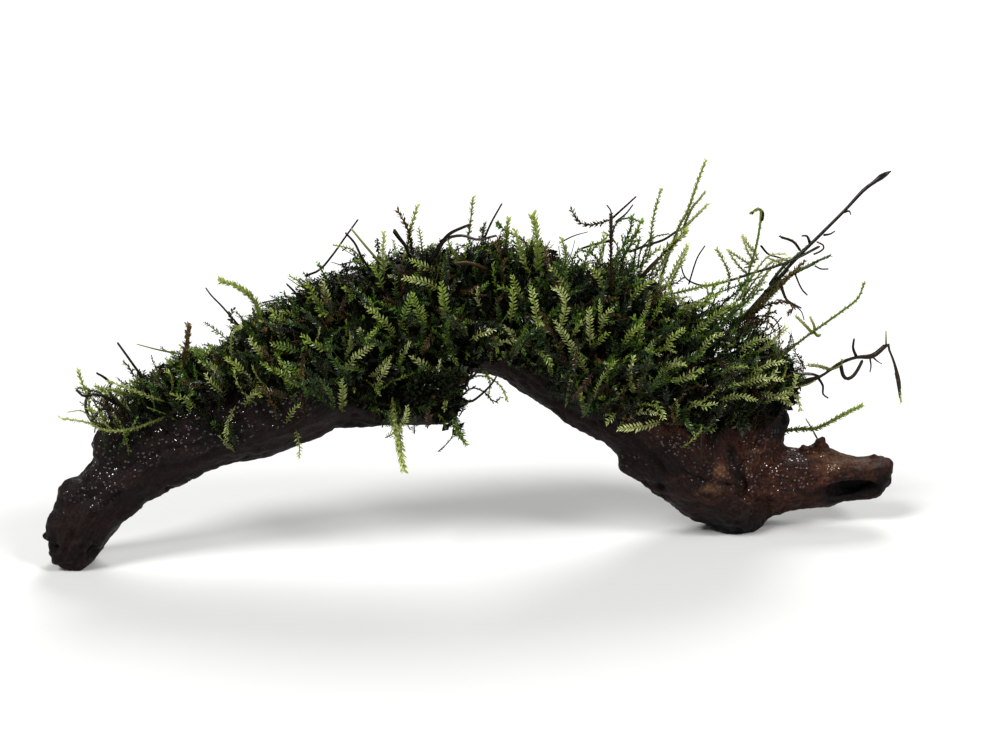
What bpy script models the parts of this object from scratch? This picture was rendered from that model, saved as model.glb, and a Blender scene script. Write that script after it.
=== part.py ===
"""Aquarium moss on driftwood.

An arched, forked piece of dark driftwood stands on two worn feet. Moss grows over its top
and front in three clumps, and a dozen long stems stand clear of the clumps.
Axes: +X runs along the wood to the right foot, +Y away from the front, +Z up from the floor.
All tables below are in millimetres; MM turns them into metres.
"""

import math
import random

import bmesh
import bpy
from mathutils import Vector, noise

MM = 0.001

# Driving dimensions
WOOD_LENGTH = 200.0
BASE_MIDDLE = (1.3, -4.2)
FLOOR_DEPTH = 40.0
KERF = 0.32
MOSS_TO_WOOD = 0.42
STEM_TO_MOSS = 0.6

# Fineness of the solids
WOOD_SIDES = 26
WOOD_STEP = 2.2
WOOD_VOXEL = 0.9
WOOD_TRIANGLES = 1950
MOSS_SIDES = 22
MOSS_STEP = 3.0
MOSS_VOXEL = 1.3
MOSS_TRIANGLES = 640
KEEP_OUT_VOXEL = 0.9
STEM_SIDES = 5
STEM_STEP = 4.5
SHOOT_SIDES = 4
SHOOT_STEP = 6.0
FRINGE_STEP = 9.0
GROOVE_SIDES = 8
GROOVE_STEP = 3.0
FEWEST_CORNERS = 4

# Grain and lumps
RIDGE_COUNT = 7
SLOW_RIDGE_COUNT = 3
SLOW_RIDGE_SHARE = 0.6
SLOW_RIDGE_TWIST = -1.7
RIDGE_HEIGHT = 0.045
RIDGE_TWIST_LENGTH = 23.0
LUMP_HEIGHT = 0.75
LUMP_SIZE = 9.0
LUMP_SEED = 3.0
MOSS_LUMP_HEIGHT = 1.5
MOSS_LUMP_SIZE = 7.0
MOSS_LUMP_SEED = 21.0
SMALL_LUMP_SHARE = 0.5
SMALL_LUMP_SIZE = 0.43
END_BULGE = 0.35
TIP_TAPER = 0.5

# Wood strands: right, away, up, half height, half depth
LEFT_LIMB_AND_ARCH = [
    (-94.0, -18.2, 1.2, 5.2, 6.6),
    (-88.6, -17.3, 11.5, 6.9, 7.2),
    (-85.2, -16.5, 15.4, 6.9, 7.4),
    (-80.2, -15.5, 20.7, 8.4, 8.2),
    (-73.5, -14.4, 26.6, 10.2, 9.0),
    (-64.6, -13.4, 30.9, 9.7, 9.4),
    (-51.2, -11.4, 34.6, 10.3, 9.8),
    (-38.6, -8.8, 40.6, 12.0, 10.4),
    (-27.0, -6.4, 51.4, 13.0, 10.8),
    (-14.9, -4.6, 55.6, 13.0, 10.6),
    (0.5, -3.0, 55.4, 12.5, 10.2),
    (14.2, -0.8, 50.2, 12.3, 10.0),
    (26.5, 1.6, 40.7, 12.8, 10.0),
    (38.0, 3.6, 32.1, 11.7, 10.0),
    (49.0, 5.6, 21.4, 12.6, 10.6),
    (57.3, 7.0, 12.6, 10.4, 10.4),
    (63.6, 7.9, 6.6, 7.0, 8.6),
]
RIGHT_LIMB = [
    (56.5, 9.6, 13.0, 8.6, 8.0),
    (64.4, 10.8, 11.4, 9.0, 8.6),
    (71.8, 11.6, 10.6, 8.0, 8.4),
    (79.1, 12.2, 11.2, 7.2, 7.6),
    (85.2, 12.6, 11.2, 6.5, 7.0),
    (91.4, 13.0, 11.0, 5.7, 6.2),
    (96.4, 13.3, 11.6, 4.9, 5.4),
    (99.8, 13.5, 12.8, 3.4, 4.4),
]
UPPER_STUB = [
    (63.2, 11.0, 12.0, 8.4, 8.0),
    (65.6, 11.8, 19.0, 8.0, 7.6),
    (68.4, 12.2, 25.0, 6.9, 6.4),
    (69.2, 12.2, 28.6, 5.2, 5.0),
]
INNER_STUB = [
    (-42.0, -8.6, 37.6, 8.4, 8.0),
    (-34.0, -7.4, 37.4, 7.4, 7.4),
    (-26.0, -7.2, 36.4, 6.0, 6.6),
    (-17.0, -7.0, 35.6, 4.8, 5.8),
    (-9.4, -6.6, 34.8, 4.0, 5.0),
    (-4.0, -6.0, 34.6, 3.0, 4.0),
]
SMALL_PRONG = [
    (-90.6, -19.0, 14.6, 4.2, 4.0),
    (-94.4, -20.4, 10.4, 2.8, 3.2),
    (-97.6, -21.2, 7.4, 1.2, 1.5),
]
BACK_PRONG = [
    (-88.0, -14.4, 9.0, 4.6, 4.0),
    (-90.6, -12.6, 3.6, 3.8, 3.6),
    (-92.0, -11.8, 0.4, 3.0, 3.2),
]

# Knobs on the wood: centre, radii
WOOD_KNOBS = [
    ((-90.0, -18.6, 17.2), (3.4, 4.0, 3.6)),
    ((-82.4, -17.4, 28.4), (4.2, 5.2, 4.6)),
    ((-76.0, -13.0, 33.4), (6.0, 6.5, 3.6)),
    ((63.0, 8.8, 3.4), (7.8, 7.8, 5.0)),
    ((72.6, 12.0, 26.2), (3.0, 4.2, 3.2)),
    ((82.4, 12.2, 17.4), (3.4, 2.6, 2.6)),
    ((84.0, 12.2, 19.4), (1.2, 1.2, 2.0)),
    ((97.6, 14.6, 15.0), (3.4, 3.0, 2.2)),
    ((43.0, 0.6, 20.0), (9.0, 5.0, 6.0)),
    ((22.6, -1.0, 32.6), (4.2, 5.0, 3.4)),
]

# Hollows worn into the wood: centre, radii
WOOD_HOLLOWS = [
    ((92.6, 5.6, 9.0), (7.4, 3.4, 3.0)),
    ((-96.6, -17.6, 2.2), (2.2, 6.0, 1.5)),
    ((-86.4, -26.0, 4.2), (1.0, 5.0, 2.2)),
]

# Cleft where the arch's end lies over the right limb, and the crack that leaves its foot
CLEFT = [
    (55.0, -4.6, 27.5),
    (60.4, -2.6, 24.0),
    (64.2, -0.6, 19.0),
    (64.4, 0.6, 13.4),
    (61.6, -1.4, 10.2),
]
CLEFT_WIDTHS = [2.0, 3.0, 3.8, 3.4, 1.8]
CRACK = [(55.0, -5.2, 12.6), (60.0, -3.2, 11.4), (68.0, 2.2, 10.6)]
CRACK_WIDTHS = [1.4, 2.2, 1.4]

# Forks, where the wood is parted: centre, direction of the strand there, reach of the cut
FORKS = [
    ((-28.8, -6.8, 51.0), (0.565, 0.0, 0.825), 22.0),
    ((-17.0, -7.0, 36.0), (0.96, 0.0, -0.28), 9.0),
    ((62.4, 9.0, 14.0), (0.88, 0.20, 0.42), 26.0),
    ((67.0, 10.0, 19.2), (-0.156, 0.0, 0.988), 13.0),
]

# Moss clumps along the wood: right, away, up, half height, half depth
MOSS_ALONG_WOOD = [
    (-88.6, -16.4, 38.2, 1.6, 4.0),
    (-83.5, -16.0, 37.3, 4.2, 8.0),
    (-77.5, -15.6, 37.6, 4.8, 10.6),
    (-71.0, -15.2, 39.8, 6.4, 12.0),
    (-63.8, -14.4, 42.6, 7.6, 12.6),
    (-56.0, -13.0, 43.2, 8.6, 13.0),
    (-49.6, -11.6, 45.6, 10.6, 13.8),
    (-42.9, -10.6, 48.4, 12.6, 14.6),
    (-35.0, -9.2, 51.8, 14.4, 15.4),
    (-25.8, -7.4, 55.6, 15.0, 16.0),
    (-17.8, -6.0, 57.2, 15.8, 16.2),
    (-8.0, -4.8, 57.8, 15.6, 16.0),
    (4.0, -3.0, 59.2, 13.8, 15.6),
    (14.4, -1.6, 57.6, 15.0, 15.6),
    (22.6, 0.0, 53.6, 17.0, 15.8),
    (29.6, 1.2, 51.2, 18.0, 16.0),
    (39.1, 3.0, 48.6, 17.6, 15.6),
    (48.6, 5.2, 46.8, 16.0, 15.0),
    (58.2, 7.6, 44.8, 14.2, 13.8),
    (67.0, 9.4, 42.2, 11.0, 11.6),
    (73.6, 10.2, 39.6, 6.6, 8.2),
    (77.6, 10.4, 37.8, 2.6, 4.4),
]
MOSS_LUMPS = [
    ((-16.0, -15.6, 44.0), (12.0, 5.0, 10.0)),
    ((-8.0, -14.0, 40.4), (6.0, 5.0, 8.0)),
    ((-34.0, -15.0, 42.0), (8.0, 5.2, 7.0)),
    ((30.0, -9.6, 42.0), (10.0, 5.0, 9.0)),
    ((45.0, -7.0, 36.0), (9.0, 5.0, 7.0)),
    ((58.0, -2.0, 34.0), (8.0, 6.0, 6.0)),
    ((68.0, 9.0, 33.5), (7.0, 8.5, 5.0)),
]
# Where the clumps part from each other: centre, direction along the wood
CLUMP_PARTS = [
    ((-46.4, -10.0, 46.0), (0.93, 0.10, 0.34)),
    ((17.0, 0.0, 54.0), (0.98, 0.10, -0.20)),
]
CLUMP_PART_REACH = 34.0

# Shoots that grow out of the clumps: root to tip, width
SHOOTS = [
    ([(-84.0, -15.0, 36.0), (-87.5, -16.5, 40.0), (-89.3, -17.0, 46.2)], 1.9),
    ([(-79.0, -13.0, 37.0), (-83.0, -11.5, 41.9), (-85.6, -10.0, 43.6)], 1.8),
    ([(-73.0, -13.0, 41.0), (-77.5, -11.5, 46.6), (-81.0, -10.0, 51.0)], 1.3),
    ([(-61.0, -7.0, 44.0), (-68.7, -5.5, 47.5), (-78.3, -4.0, 49.0)], 1.3),
    ([(-51.0, -8.0, 50.0), (-55.3, -7.3, 56.0), (-59.1, -6.7, 61.2), (-61.0, -6.0, 63.0)], 1.3),
    ([(-38.0, -18.0, 37.0), (-38.6, -22.4, 32.0), (-39.0, -24.0, 26.6)], 2.0),
    ([(-60.0, -21.0, 37.0), (-57.6, -24.6, 34.6), (-53.0, -26.0, 31.9)], 1.8),
    ([(-23.4, -8.0, 66.0), (-26.1, -9.0, 72.2), (-28.4, -10.0, 76.3)], 1.3),
    ([(-23.6, -4.0, 65.0), (-27.6, -3.0, 70.5), (-32.2, -2.0, 71.9)], 1.8),
    ([(-21.0, 2.0, 67.0), (-26.1, 3.0, 72.3), (-28.0, 4.0, 74.7)], 1.3),
    ([(-38.0, 4.0, 60.0), (-32.6, 4.7, 67.5), (-26.7, 6.0, 76.2)], 1.3),
    ([(-20.3, -8.0, 67.0), (-20.2, -9.0, 72.2), (-19.9, -10.0, 76.3)], 2.0),
    ([(-14.2, -2.0, 69.0), (-15.0, -2.5, 74.8), (-16.7, -3.0, 80.0)], 1.9),
    ([(-15.0, 2.0, 69.0), (-14.5, 3.0, 74.9), (-12.9, 4.0, 79.4)], 1.9),
    ([(-1.2, 0.0, 67.0), (-0.6, 0.0, 74.3), (0.1, 0.0, 83.0)], 1.8),
    ([(2.4, 4.0, 67.0), (3.5, 5.0, 73.3), (6.1, 6.0, 79.7)], 1.4),
    ([(7.8, -5.0, 67.0), (7.9, -6.0, 73.0), (8.1, -8.0, 78.7)], 1.9),
    ([(13.6, -8.0, 66.0), (14.4, -9.0, 75.3), (13.7, -10.0, 80.7)], 2.4),
    ([(36.0, 0.0, 64.0), (34.6, 0.0, 72.7), (31.3, 0.0, 77.2), (27.4, 0.0, 76.9), (22.8, 0.0, 79.5)], 1.8),
    ([(31.4, 2.0, 68.0), (33.3, 3.0, 78.4), (37.5, 4.0, 82.0)], 1.4),
    ([(40.6, 2.0, 64.0), (41.2, 2.8, 73.5), (41.4, 3.3, 77.9), (43.7, 4.0, 83.6)], 1.8),
    ([(43.0, -5.0, 58.0), (46.3, -8.0, 68.8), (48.5, -10.0, 73.6)], 1.9),
    ([(59.0, 8.0, 55.0), (60.5, 9.3, 60.0), (60.1, 10.7, 64.3), (57.0, 12.0, 67.6)], 1.7),
    ([(52.0, 4.0, 58.0), (57.0, 3.0, 64.0), (62.0, 1.0, 66.0)], 1.7),
    ([(70.0, 6.0, 46.0), (74.0, 3.0, 50.5), (76.0, 1.0, 53.0)], 2.0),
    ([(-6.6, -15.0, 38.0), (-5.0, -17.3, 31.6), (-1.2, -18.0, 28.4)], 2.6),
    ([(22.0, -13.0, 44.0), (24.0, -18.0, 41.0), (25.0, -20.0, 36.0)], 2.0),
    ([(47.0, -9.0, 33.0), (51.0, -12.0, 30.5), (56.0, -13.0, 31.0)], 2.0),
]

# Fringe of ordinary shoots round each clump
FRINGE_SEED = 11
FRINGE_SPACING = 14.5
FRINGE_LENGTH = (5.0, 8.5)
FRINGE_WIDTH = 2.2
FRINGE_ANGLES = (-58, -12, 40, 94)
FRINGE_ANGLE_SCATTER = 14
FRINGE_LEAN_ALONG = 0.5
FRINGE_LEAN_UP = (-0.1, 0.35)
FRINGE_DROOP = 0.12
FRINGE_ROOT = 0.86
FRINGE_TO_STEM = 3.2
STEM_SAMPLING = 1.5

# Long stems, each a piece of its own: root to tip, width at root and tip
LONG_STEMS = {
    "stem_low_pale": (
        [(-66.0, -23.0, 36.4), (-75.6, -28.2, 32.8), (-84.4, -28.4, 34.4), (-91.2, -27.8, 36.8)],
        2.2,
        1.0,
    ),
    "stem_brown_left": ([(-65.6, -14.0, 42.0), (-64.7, -14.0, 50.1), (-64.0, -14.0, 56.0)], 2.2, 1.8),
    "stem_thick_yellow": (
        [
            (-47.6, -12.0, 50.0),
            (-48.1, -12.0, 57.1),
            (-49.4, -12.0, 61.1),
            (-52.5, -12.0, 64.1),
            (-56.5, -12.0, 65.7),
        ],
        2.8,
        1.4,
    ),
    "stem_brown_crown": ([(31.6, -9.6, 58.0), (31.3, -11.0, 72.6), (31.2, -12.0, 80.8)], 2.2, 1.4),
    "stem_tall_forked": (
        [
            (43.0, 1.0, 62.0),
            (47.4, 1.5, 75.0),
            (49.4, 2.0, 78.8),
            (51.8, 2.5, 86.0),
            (53.4, 3.0, 90.4),
        ],
        2.2,
        1.0,
    ),
    "stem_hooked": (
        [
            (62.6, 6.0, 52.0),
            (64.6, 6.3, 63.8),
            (66.1, 6.7, 69.7),
            (66.9, 7.0, 74.9),
            (66.9, 7.4, 78.4),
            (64.6, 8.0, 77.4),
        ],
        2.0,
        1.2,
    ),
    "stem_long_dark": (
        [
            (60.0, 3.0, 50.0),
            (69.4, 4.7, 60.5),
            (75.6, 5.6, 67.3),
            (81.3, 6.4, 73.0),
            (86.8, 7.3, 78.5),
            (96.5, 9.0, 87.0),
        ],
        1.6,
        1.5,
    ),
    "stem_olive": (
        [(58.0, -2.6, 50.0), (68.5, -2.7, 61.0), (74.7, -3.3, 66.1), (81.8, -4.0, 69.8)],
        1.8,
        1.3,
    ),
    "stem_curved_green": (
        [
            (66.0, 1.6, 39.0),
            (75.8, 0.5, 48.1),
            (84.0, -1.0, 54.9),
            (88.7, -2.5, 59.3),
            (89.9, -4.0, 63.4),
        ],
        2.0,
        1.3,
    ),
    "stem_runner": (
        [
            (66.0, 8.0, 35.0),
            (76.9, 6.6, 36.7),
            (82.6, 6.0, 38.8),
            (88.1, 6.0, 42.6),
            (93.2, 6.0, 43.5),
            (97.6, 6.0, 46.3),
            (99.6, 6.0, 41.6),
            (101.2, 6.0, 33.4),
        ],
        1.9,
        1.2,
    ),
    "stem_low_green": (
        [(76.8, 14.4, 23.4), (84.4, 15.0, 24.0), (88.8, 15.5, 25.6), (94.3, 16.0, 28.4)],
        1.9,
        1.3,
    ),
    "stem_hanging": (
        [(-18.0, -18.0, 40.0), (-17.6, -20.7, 35.1), (-16.8, -21.3, 29.8), (-15.4, -22.0, 23.9)],
        3.0,
        2.2,
    ),
}
BUD_ON_LONG_DARK = ((94.8, 8.7, 85.6), (1.7, 0.8, 1.5))

# Colours as seen in the photo: linear red, green, blue
DARK_WOOD = (0.016, 0.009, 0.007)
RED_WOOD = (0.060, 0.022, 0.011)
MOSS_GREEN = (0.070, 0.120, 0.018)
MOSS_BRIGHT = (0.230, 0.300, 0.060)
MOSS_DARK = (0.012, 0.028, 0.012)
STEM_BROWN = (0.075, 0.042, 0.018)
STEM_BLACK = (0.012, 0.010, 0.010)
WOOD_ROUGHNESS = 0.35
MOSS_ROUGHNESS = 0.6
SHARP_DEGREES = 50

WOOD_COLOURS = {
    "driftwood_left_limb": DARK_WOOD,
    "driftwood_arch": DARK_WOOD,
    "driftwood_inner_stub": DARK_WOOD,
    "driftwood_right_limb": RED_WOOD,
    "driftwood_upper_stub": RED_WOOD,
}
WOOD_PLACES = {
    "driftwood_left_limb": (-60.0, -13.0, 32.0),
    "driftwood_arch": (14.0, -1.0, 50.0),
    "driftwood_inner_stub": (-12.0, -6.0, 37.0),
    "driftwood_right_limb": (85.0, 12.6, 11.0),
    "driftwood_upper_stub": (68.6, 12.2, 27.0),
}
MOSS_COLOURS = {
    "moss_left_clump": MOSS_GREEN,
    "moss_crown_clump": MOSS_DARK,
    "moss_right_clump": MOSS_GREEN,
}
MOSS_PLACES = {
    "moss_left_clump": (-66.0, -14.0, 44.0),
    "moss_crown_clump": (-14.0, -6.0, 70.0),
    "moss_right_clump": (46.0, 4.0, 58.0),
}
STEM_COLOURS = {
    "stem_low_pale": MOSS_BRIGHT,
    "stem_brown_left": STEM_BROWN,
    "stem_thick_yellow": MOSS_BRIGHT,
    "stem_brown_crown": STEM_BROWN,
    "stem_tall_forked": MOSS_BRIGHT,
    "stem_hooked": MOSS_GREEN,
    "stem_long_dark": STEM_BLACK,
    "stem_olive": STEM_BROWN,
    "stem_curved_green": MOSS_BRIGHT,
    "stem_runner": STEM_BROWN,
    "stem_low_green": MOSS_BRIGHT,
    "stem_hanging": MOSS_BRIGHT,
}


def clear_scene():
    for obj in list(bpy.data.objects):
        bpy.data.objects.remove(obj, do_unlink=True)


def finish_material(name, colour, roughness):
    material = bpy.data.materials.new(name)
    material.use_nodes = True
    shader = material.node_tree.nodes["Principled BSDF"]
    shader.inputs["Base Color"].default_value = (*colour, 1.0)
    shader.inputs["Roughness"].default_value = roughness
    shader.inputs["Metallic"].default_value = 0.0
    material.diffuse_color = (*colour, 1.0)
    return material


def object_from(mesh_builder, name):
    """A mesh object in the scene made from a bmesh, which is freed."""
    mesh = bpy.data.meshes.new(name)
    mesh_builder.to_mesh(mesh)
    mesh_builder.free()
    obj = bpy.data.objects.new(name, mesh)
    bpy.context.scene.collection.objects.link(obj)
    return obj


def with_modifier(obj, kind, **settings):
    """Adds one modifier, keeps its result as the object's own mesh, and returns the object."""
    modifier = obj.modifiers.new(kind.title(), kind)
    for setting, value in settings.items():
        setattr(modifier, setting, value)
    graph = bpy.context.evaluated_depsgraph_get()
    changed = bpy.data.meshes.new_from_object(obj.evaluated_get(graph))
    obj.modifiers.clear()
    obj.data = changed
    return obj


def removed(objects):
    for obj in objects:
        bpy.data.objects.remove(obj, do_unlink=True)


def smooth_through(points, step):
    """Points of a Catmull-Rom curve through rows of numbers, about one step apart by the first three."""
    rows = [Vector(row) for row in points]
    rows = [2 * rows[0] - rows[1], *rows, 2 * rows[-1] - rows[-2]]
    result = []
    for before, start, end, after in zip(rows, rows[1:], rows[2:], rows[3:]):
        count = max(1, round((Vector(end[:3]) - Vector(start[:3])).length / step))
        for index in range(count):
            t = index / count
            result.append(
                0.5
                * (
                    2 * start
                    + (end - before) * t
                    + (2 * before - 5 * start + 4 * end - after) * t**2
                    + (3 * start - before - 3 * end + after) * t**3
                )
            )
    result.append(rows[-2])
    return result


def frames_along(centres):
    """Tangent, side and normal at each centre, the side as near as can be to the +Y axis."""
    frames = []
    last = len(centres) - 1
    for index, _ in enumerate(centres):
        ahead = centres[min(index + 1, last)]
        behind = centres[max(index - 1, 0)]
        tangent = (ahead - behind).normalized()
        side = (Vector((0, 1, 0)) - tangent * tangent.y).normalized()
        normal = side.cross(tangent) * -1
        frames.append((tangent, side, normal))
    return frames


def loft(name, stations, step, sides, shape):
    """A closed body along the stations. shape(angle, distance along) scales each ring's radius."""
    path = smooth_through(stations, step)
    centres = [Vector(row[:3]) for row in path]
    frames = frames_along(centres)
    builder = bmesh.new()
    rings = []
    along = 0.0
    for index, (row, centre) in enumerate(zip(path, centres)):
        along += (centre - centres[index - 1]).length if index else 0.0
        _, side, normal = frames[index]
        ring = []
        for number in range(sides):
            angle = 2 * math.pi * number / sides
            reach = shape(angle, along)
            offset = normal * math.cos(angle) * row[3] + side * math.sin(angle) * row[4]
            ring.append(builder.verts.new((centre + offset * reach) * MM))
        rings.append(ring)
    for ring, following in zip(rings, rings[1:]):
        for number in range(sides):
            after = (number + 1) % sides
            builder.faces.new((ring[number], ring[after], following[after], following[number]))
    for ring, outward in ((rings[0], -1), (rings[-1], 1)):
        index = 0 if outward < 0 else -1
        bulge = min(path[index][3:5]) * END_BULGE
        tip = builder.verts.new((centres[index] + frames[index][0] * outward * bulge) * MM)
        for number in range(sides):
            builder.faces.new((ring[number], ring[(number + 1) % sides], tip))
    bmesh.ops.recalc_face_normals(builder, faces=builder.faces)
    return object_from(builder, name)


def grain_shape(angle, along):
    """Long ridges that wind slowly round a strand of wood."""
    twist = along / RIDGE_TWIST_LENGTH
    fine = math.sin(RIDGE_COUNT * angle + twist)
    slow = math.sin(SLOW_RIDGE_COUNT * angle + SLOW_RIDGE_TWIST * twist)
    return 1 + RIDGE_HEIGHT * (fine + SLOW_RIDGE_SHARE * slow)


def plain_shape(angle, along):
    return 1.0


def tube(name, points, widths, sides, step):
    """A closed tapering stem through the points, its widths running evenly from root to tip."""
    count = len(points) - 1
    rows = []
    for index, point in enumerate(points):
        place = index / count * (len(widths) - 1)
        low = min(int(place), len(widths) - 2)
        width = widths[low] + (widths[low + 1] - widths[low]) * (place - low)
        rows.append((*point, width / 2, width / 2))
    return loft(name, rows, step, sides, plain_shape)


def ball(name, centre, radii, fineness=3):
    builder = bmesh.new()
    bmesh.ops.create_icosphere(builder, subdivisions=fineness, radius=1.0)
    for vertex in builder.verts:
        spread = Vector(size * part for size, part in zip(radii, vertex.co))
        vertex.co = (Vector(centre) + spread) * MM
    return object_from(builder, name)


def cutting_slab(name, centre, direction, thickness, reach):
    """A thin square slab across a strand, as wide as the reach either way."""
    builder = bmesh.new()
    bmesh.ops.create_cube(builder, size=1.0)
    turn = Vector((0, 0, 1)).rotation_difference(Vector(direction)).to_matrix()
    for vertex in builder.verts:
        corner = Vector((vertex.co.x * 2 * reach, vertex.co.y * 2 * reach, vertex.co.z * thickness))
        vertex.co = (turn @ corner + Vector(centre)) * MM
    return object_from(builder, name)


def floor_block():
    """A block whose top is the surface that the wood stands on; it wears the feet flat."""
    builder = bmesh.new()
    bmesh.ops.create_cube(builder, size=1.0)
    for vertex in builder.verts:
        right, away, up = vertex.co
        vertex.co = Vector((right * 2 * WOOD_LENGTH, away * WOOD_LENGTH, (up - 0.5) * FLOOR_DEPTH)) * MM
    return object_from(builder, "floor_cutter")


def join_meshes(name, objects):
    """One object that holds all the meshes, still as separate shells."""
    builder = bmesh.new()
    for obj in objects:
        builder.from_mesh(obj.data)
    removed(objects)
    return object_from(builder, name)


def roughen(obj, height, size, seed):
    """Moves each point along its normal by a smooth noise of two sizes."""
    normals = [vertex.normal.copy() for vertex in obj.data.vertices]
    for vertex, normal in zip(obj.data.vertices, normals):
        place = vertex.co / (size * MM) + Vector((seed, 0, 0))
        swell = noise.noise(place) + SMALL_LUMP_SHARE * noise.noise(place / SMALL_LUMP_SIZE)
        vertex.co += normal * swell * height * MM


def grown(obj, distance, name):
    """A copy of the object with its surface moved outward."""
    copy = bpy.data.objects.new(name, obj.data.copy())
    bpy.context.scene.collection.objects.link(copy)
    with_modifier(copy, "DISPLACE", strength=distance * MM, mid_level=0.0, direction="NORMAL")
    return copy


def cut_by(obj, cutters):
    for cutter in cutters:
        with_modifier(obj, "BOOLEAN", operation="DIFFERENCE", object=cutter)
    removed(cutters)
    return obj


def loose_bodies(obj):
    """Each separate solid shell of the object as a bmesh, largest first; the object is removed."""
    whole = bmesh.new()
    whole.from_mesh(obj.data)
    bmesh.ops.triangulate(whole, faces=whole.faces)
    unseen = set(whole.verts)
    bodies = []
    while unseen:
        stack = [unseen.pop()]
        shell = set(stack)
        while stack:
            for edge in stack.pop().link_edges:
                for vertex in edge.verts:
                    if vertex in unseen:
                        unseen.discard(vertex)
                        shell.add(vertex)
                        stack.append(vertex)
        bodies.append(shell)
    result = []
    for shell in bodies:
        if len(shell) < FEWEST_CORNERS:
            continue
        builder = bmesh.new()
        copies = {vertex: builder.verts.new(vertex.co) for vertex in shell}
        for face in whole.faces:
            if face.verts[0] in shell:
                builder.faces.new([copies[vertex] for vertex in face.verts])
        result.append(builder)
    whole.free()
    removed([obj])
    return sorted(result, key=lambda body: -body.calc_volume())


def distance_to(body, place):
    return min((vertex.co - Vector(place) * MM).length for vertex in body.verts)


def name_bodies(bodies, places):
    """Gives each name the body that comes nearest to its place, and drops the crumbs."""
    made = {}
    kept = bodies[: len(places)]
    for name, place in places.items():
        nearest = min(kept, key=lambda body: distance_to(body, place))
        kept.remove(nearest)
        made[name] = object_from(nearest, name)
    for body in bodies[len(places):]:
        body.free()
    return made


def rough_wood():
    """The whole driftwood as one body, with its knobs, hollows, cleft and flat feet."""
    strands = [
        loft("arch_strand", LEFT_LIMB_AND_ARCH, WOOD_STEP, WOOD_SIDES, grain_shape),
        loft("right_strand", RIGHT_LIMB, WOOD_STEP, WOOD_SIDES, grain_shape),
        loft("stub_strand", UPPER_STUB, WOOD_STEP, WOOD_SIDES, grain_shape),
        loft("inner_strand", INNER_STUB, WOOD_STEP, WOOD_SIDES, grain_shape),
        loft("small_prong", SMALL_PRONG, WOOD_STEP, WOOD_SIDES, plain_shape),
        loft("back_prong", BACK_PRONG, WOOD_STEP, WOOD_SIDES, plain_shape),
    ]
    knobs = [ball("knob", centre, radii) for centre, radii in WOOD_KNOBS]
    wood = join_meshes("wood", strands + knobs)
    with_modifier(wood, "REMESH", mode="VOXEL", voxel_size=WOOD_VOXEL * MM)
    roughen(wood, LUMP_HEIGHT, LUMP_SIZE, LUMP_SEED)
    hollows = [ball("hollow_cutter", centre, radii) for centre, radii in WOOD_HOLLOWS]
    grooves = [
        tube("cleft_cutter", CLEFT, CLEFT_WIDTHS, GROOVE_SIDES, GROOVE_STEP),
        tube("crack_cutter", CRACK, CRACK_WIDTHS, GROOVE_SIDES, GROOVE_STEP),
    ]
    cut_by(wood, hollows + grooves)
    with_modifier(wood, "REMESH", mode="VOXEL", voxel_size=WOOD_VOXEL * MM)
    with_modifier(wood, "SMOOTH", factor=0.5, iterations=1)
    triangles = 2 * len(wood.data.polygons)
    with_modifier(wood, "DECIMATE", ratio=WOOD_TRIANGLES / triangles, use_collapse_triangulate=True)
    return wood


def rough_moss():
    """All the moss as one body before the wood is taken out of it."""
    pieces = [loft("moss_strand", MOSS_ALONG_WOOD, MOSS_STEP, MOSS_SIDES, plain_shape)]
    pieces += [ball("moss_lump", centre, radii) for centre, radii in MOSS_LUMPS]
    moss = join_meshes("moss", pieces)
    with_modifier(moss, "REMESH", mode="VOXEL", voxel_size=MOSS_VOXEL * MM)
    roughen(moss, MOSS_LUMP_HEIGHT, MOSS_LUMP_SIZE, MOSS_LUMP_SEED)
    triangles = 2 * len(moss.data.polygons)
    with_modifier(moss, "DECIMATE", ratio=MOSS_TRIANGLES / triangles, use_collapse_triangulate=True)
    return moss


def fringe():
    """Short ordinary shoots that stand out all round the moss, row after row along the wood."""
    chance = random.Random(FRINGE_SEED)
    path = smooth_through(MOSS_ALONG_WOOD, FRINGE_SPACING)[1:-1]
    centres = [Vector(row[:3]) for row in path]
    shoots = []
    for row, centre, (tangent, side, normal) in zip(path, centres, frames_along(centres)):
        for angle in FRINGE_ANGLES:
            turned = math.radians(angle + chance.uniform(-FRINGE_ANGLE_SCATTER, FRINGE_ANGLE_SCATTER))
            skin = normal * math.cos(turned) * row[3] - side * math.sin(turned) * row[4]
            lean = tangent * chance.uniform(-FRINGE_LEAN_ALONG, FRINGE_LEAN_ALONG)
            lean += Vector((0, 0, chance.uniform(*FRINGE_LEAN_UP)))
            out = (skin.normalized() + lean).normalized()
            length = chance.uniform(*FRINGE_LENGTH)
            root = centre + skin * FRINGE_ROOT
            middle = centre + skin + out * length / 2
            tip = centre + skin + out * length - Vector((0, 0, FRINGE_DROOP * length))
            if stem_clearance(tip) > FRINGE_TO_STEM and stem_clearance(root) > FRINGE_TO_STEM:
                shoots.append([root, middle, tip])
    return shoots


def stem_clearance(place):
    """How far a place is from the nearest long stem, in millimetres."""
    points = [point for path, _, _ in LONG_STEMS.values() for point in smooth_through(path, STEM_SAMPLING)]
    return min((point - place).length for point in points)


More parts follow.
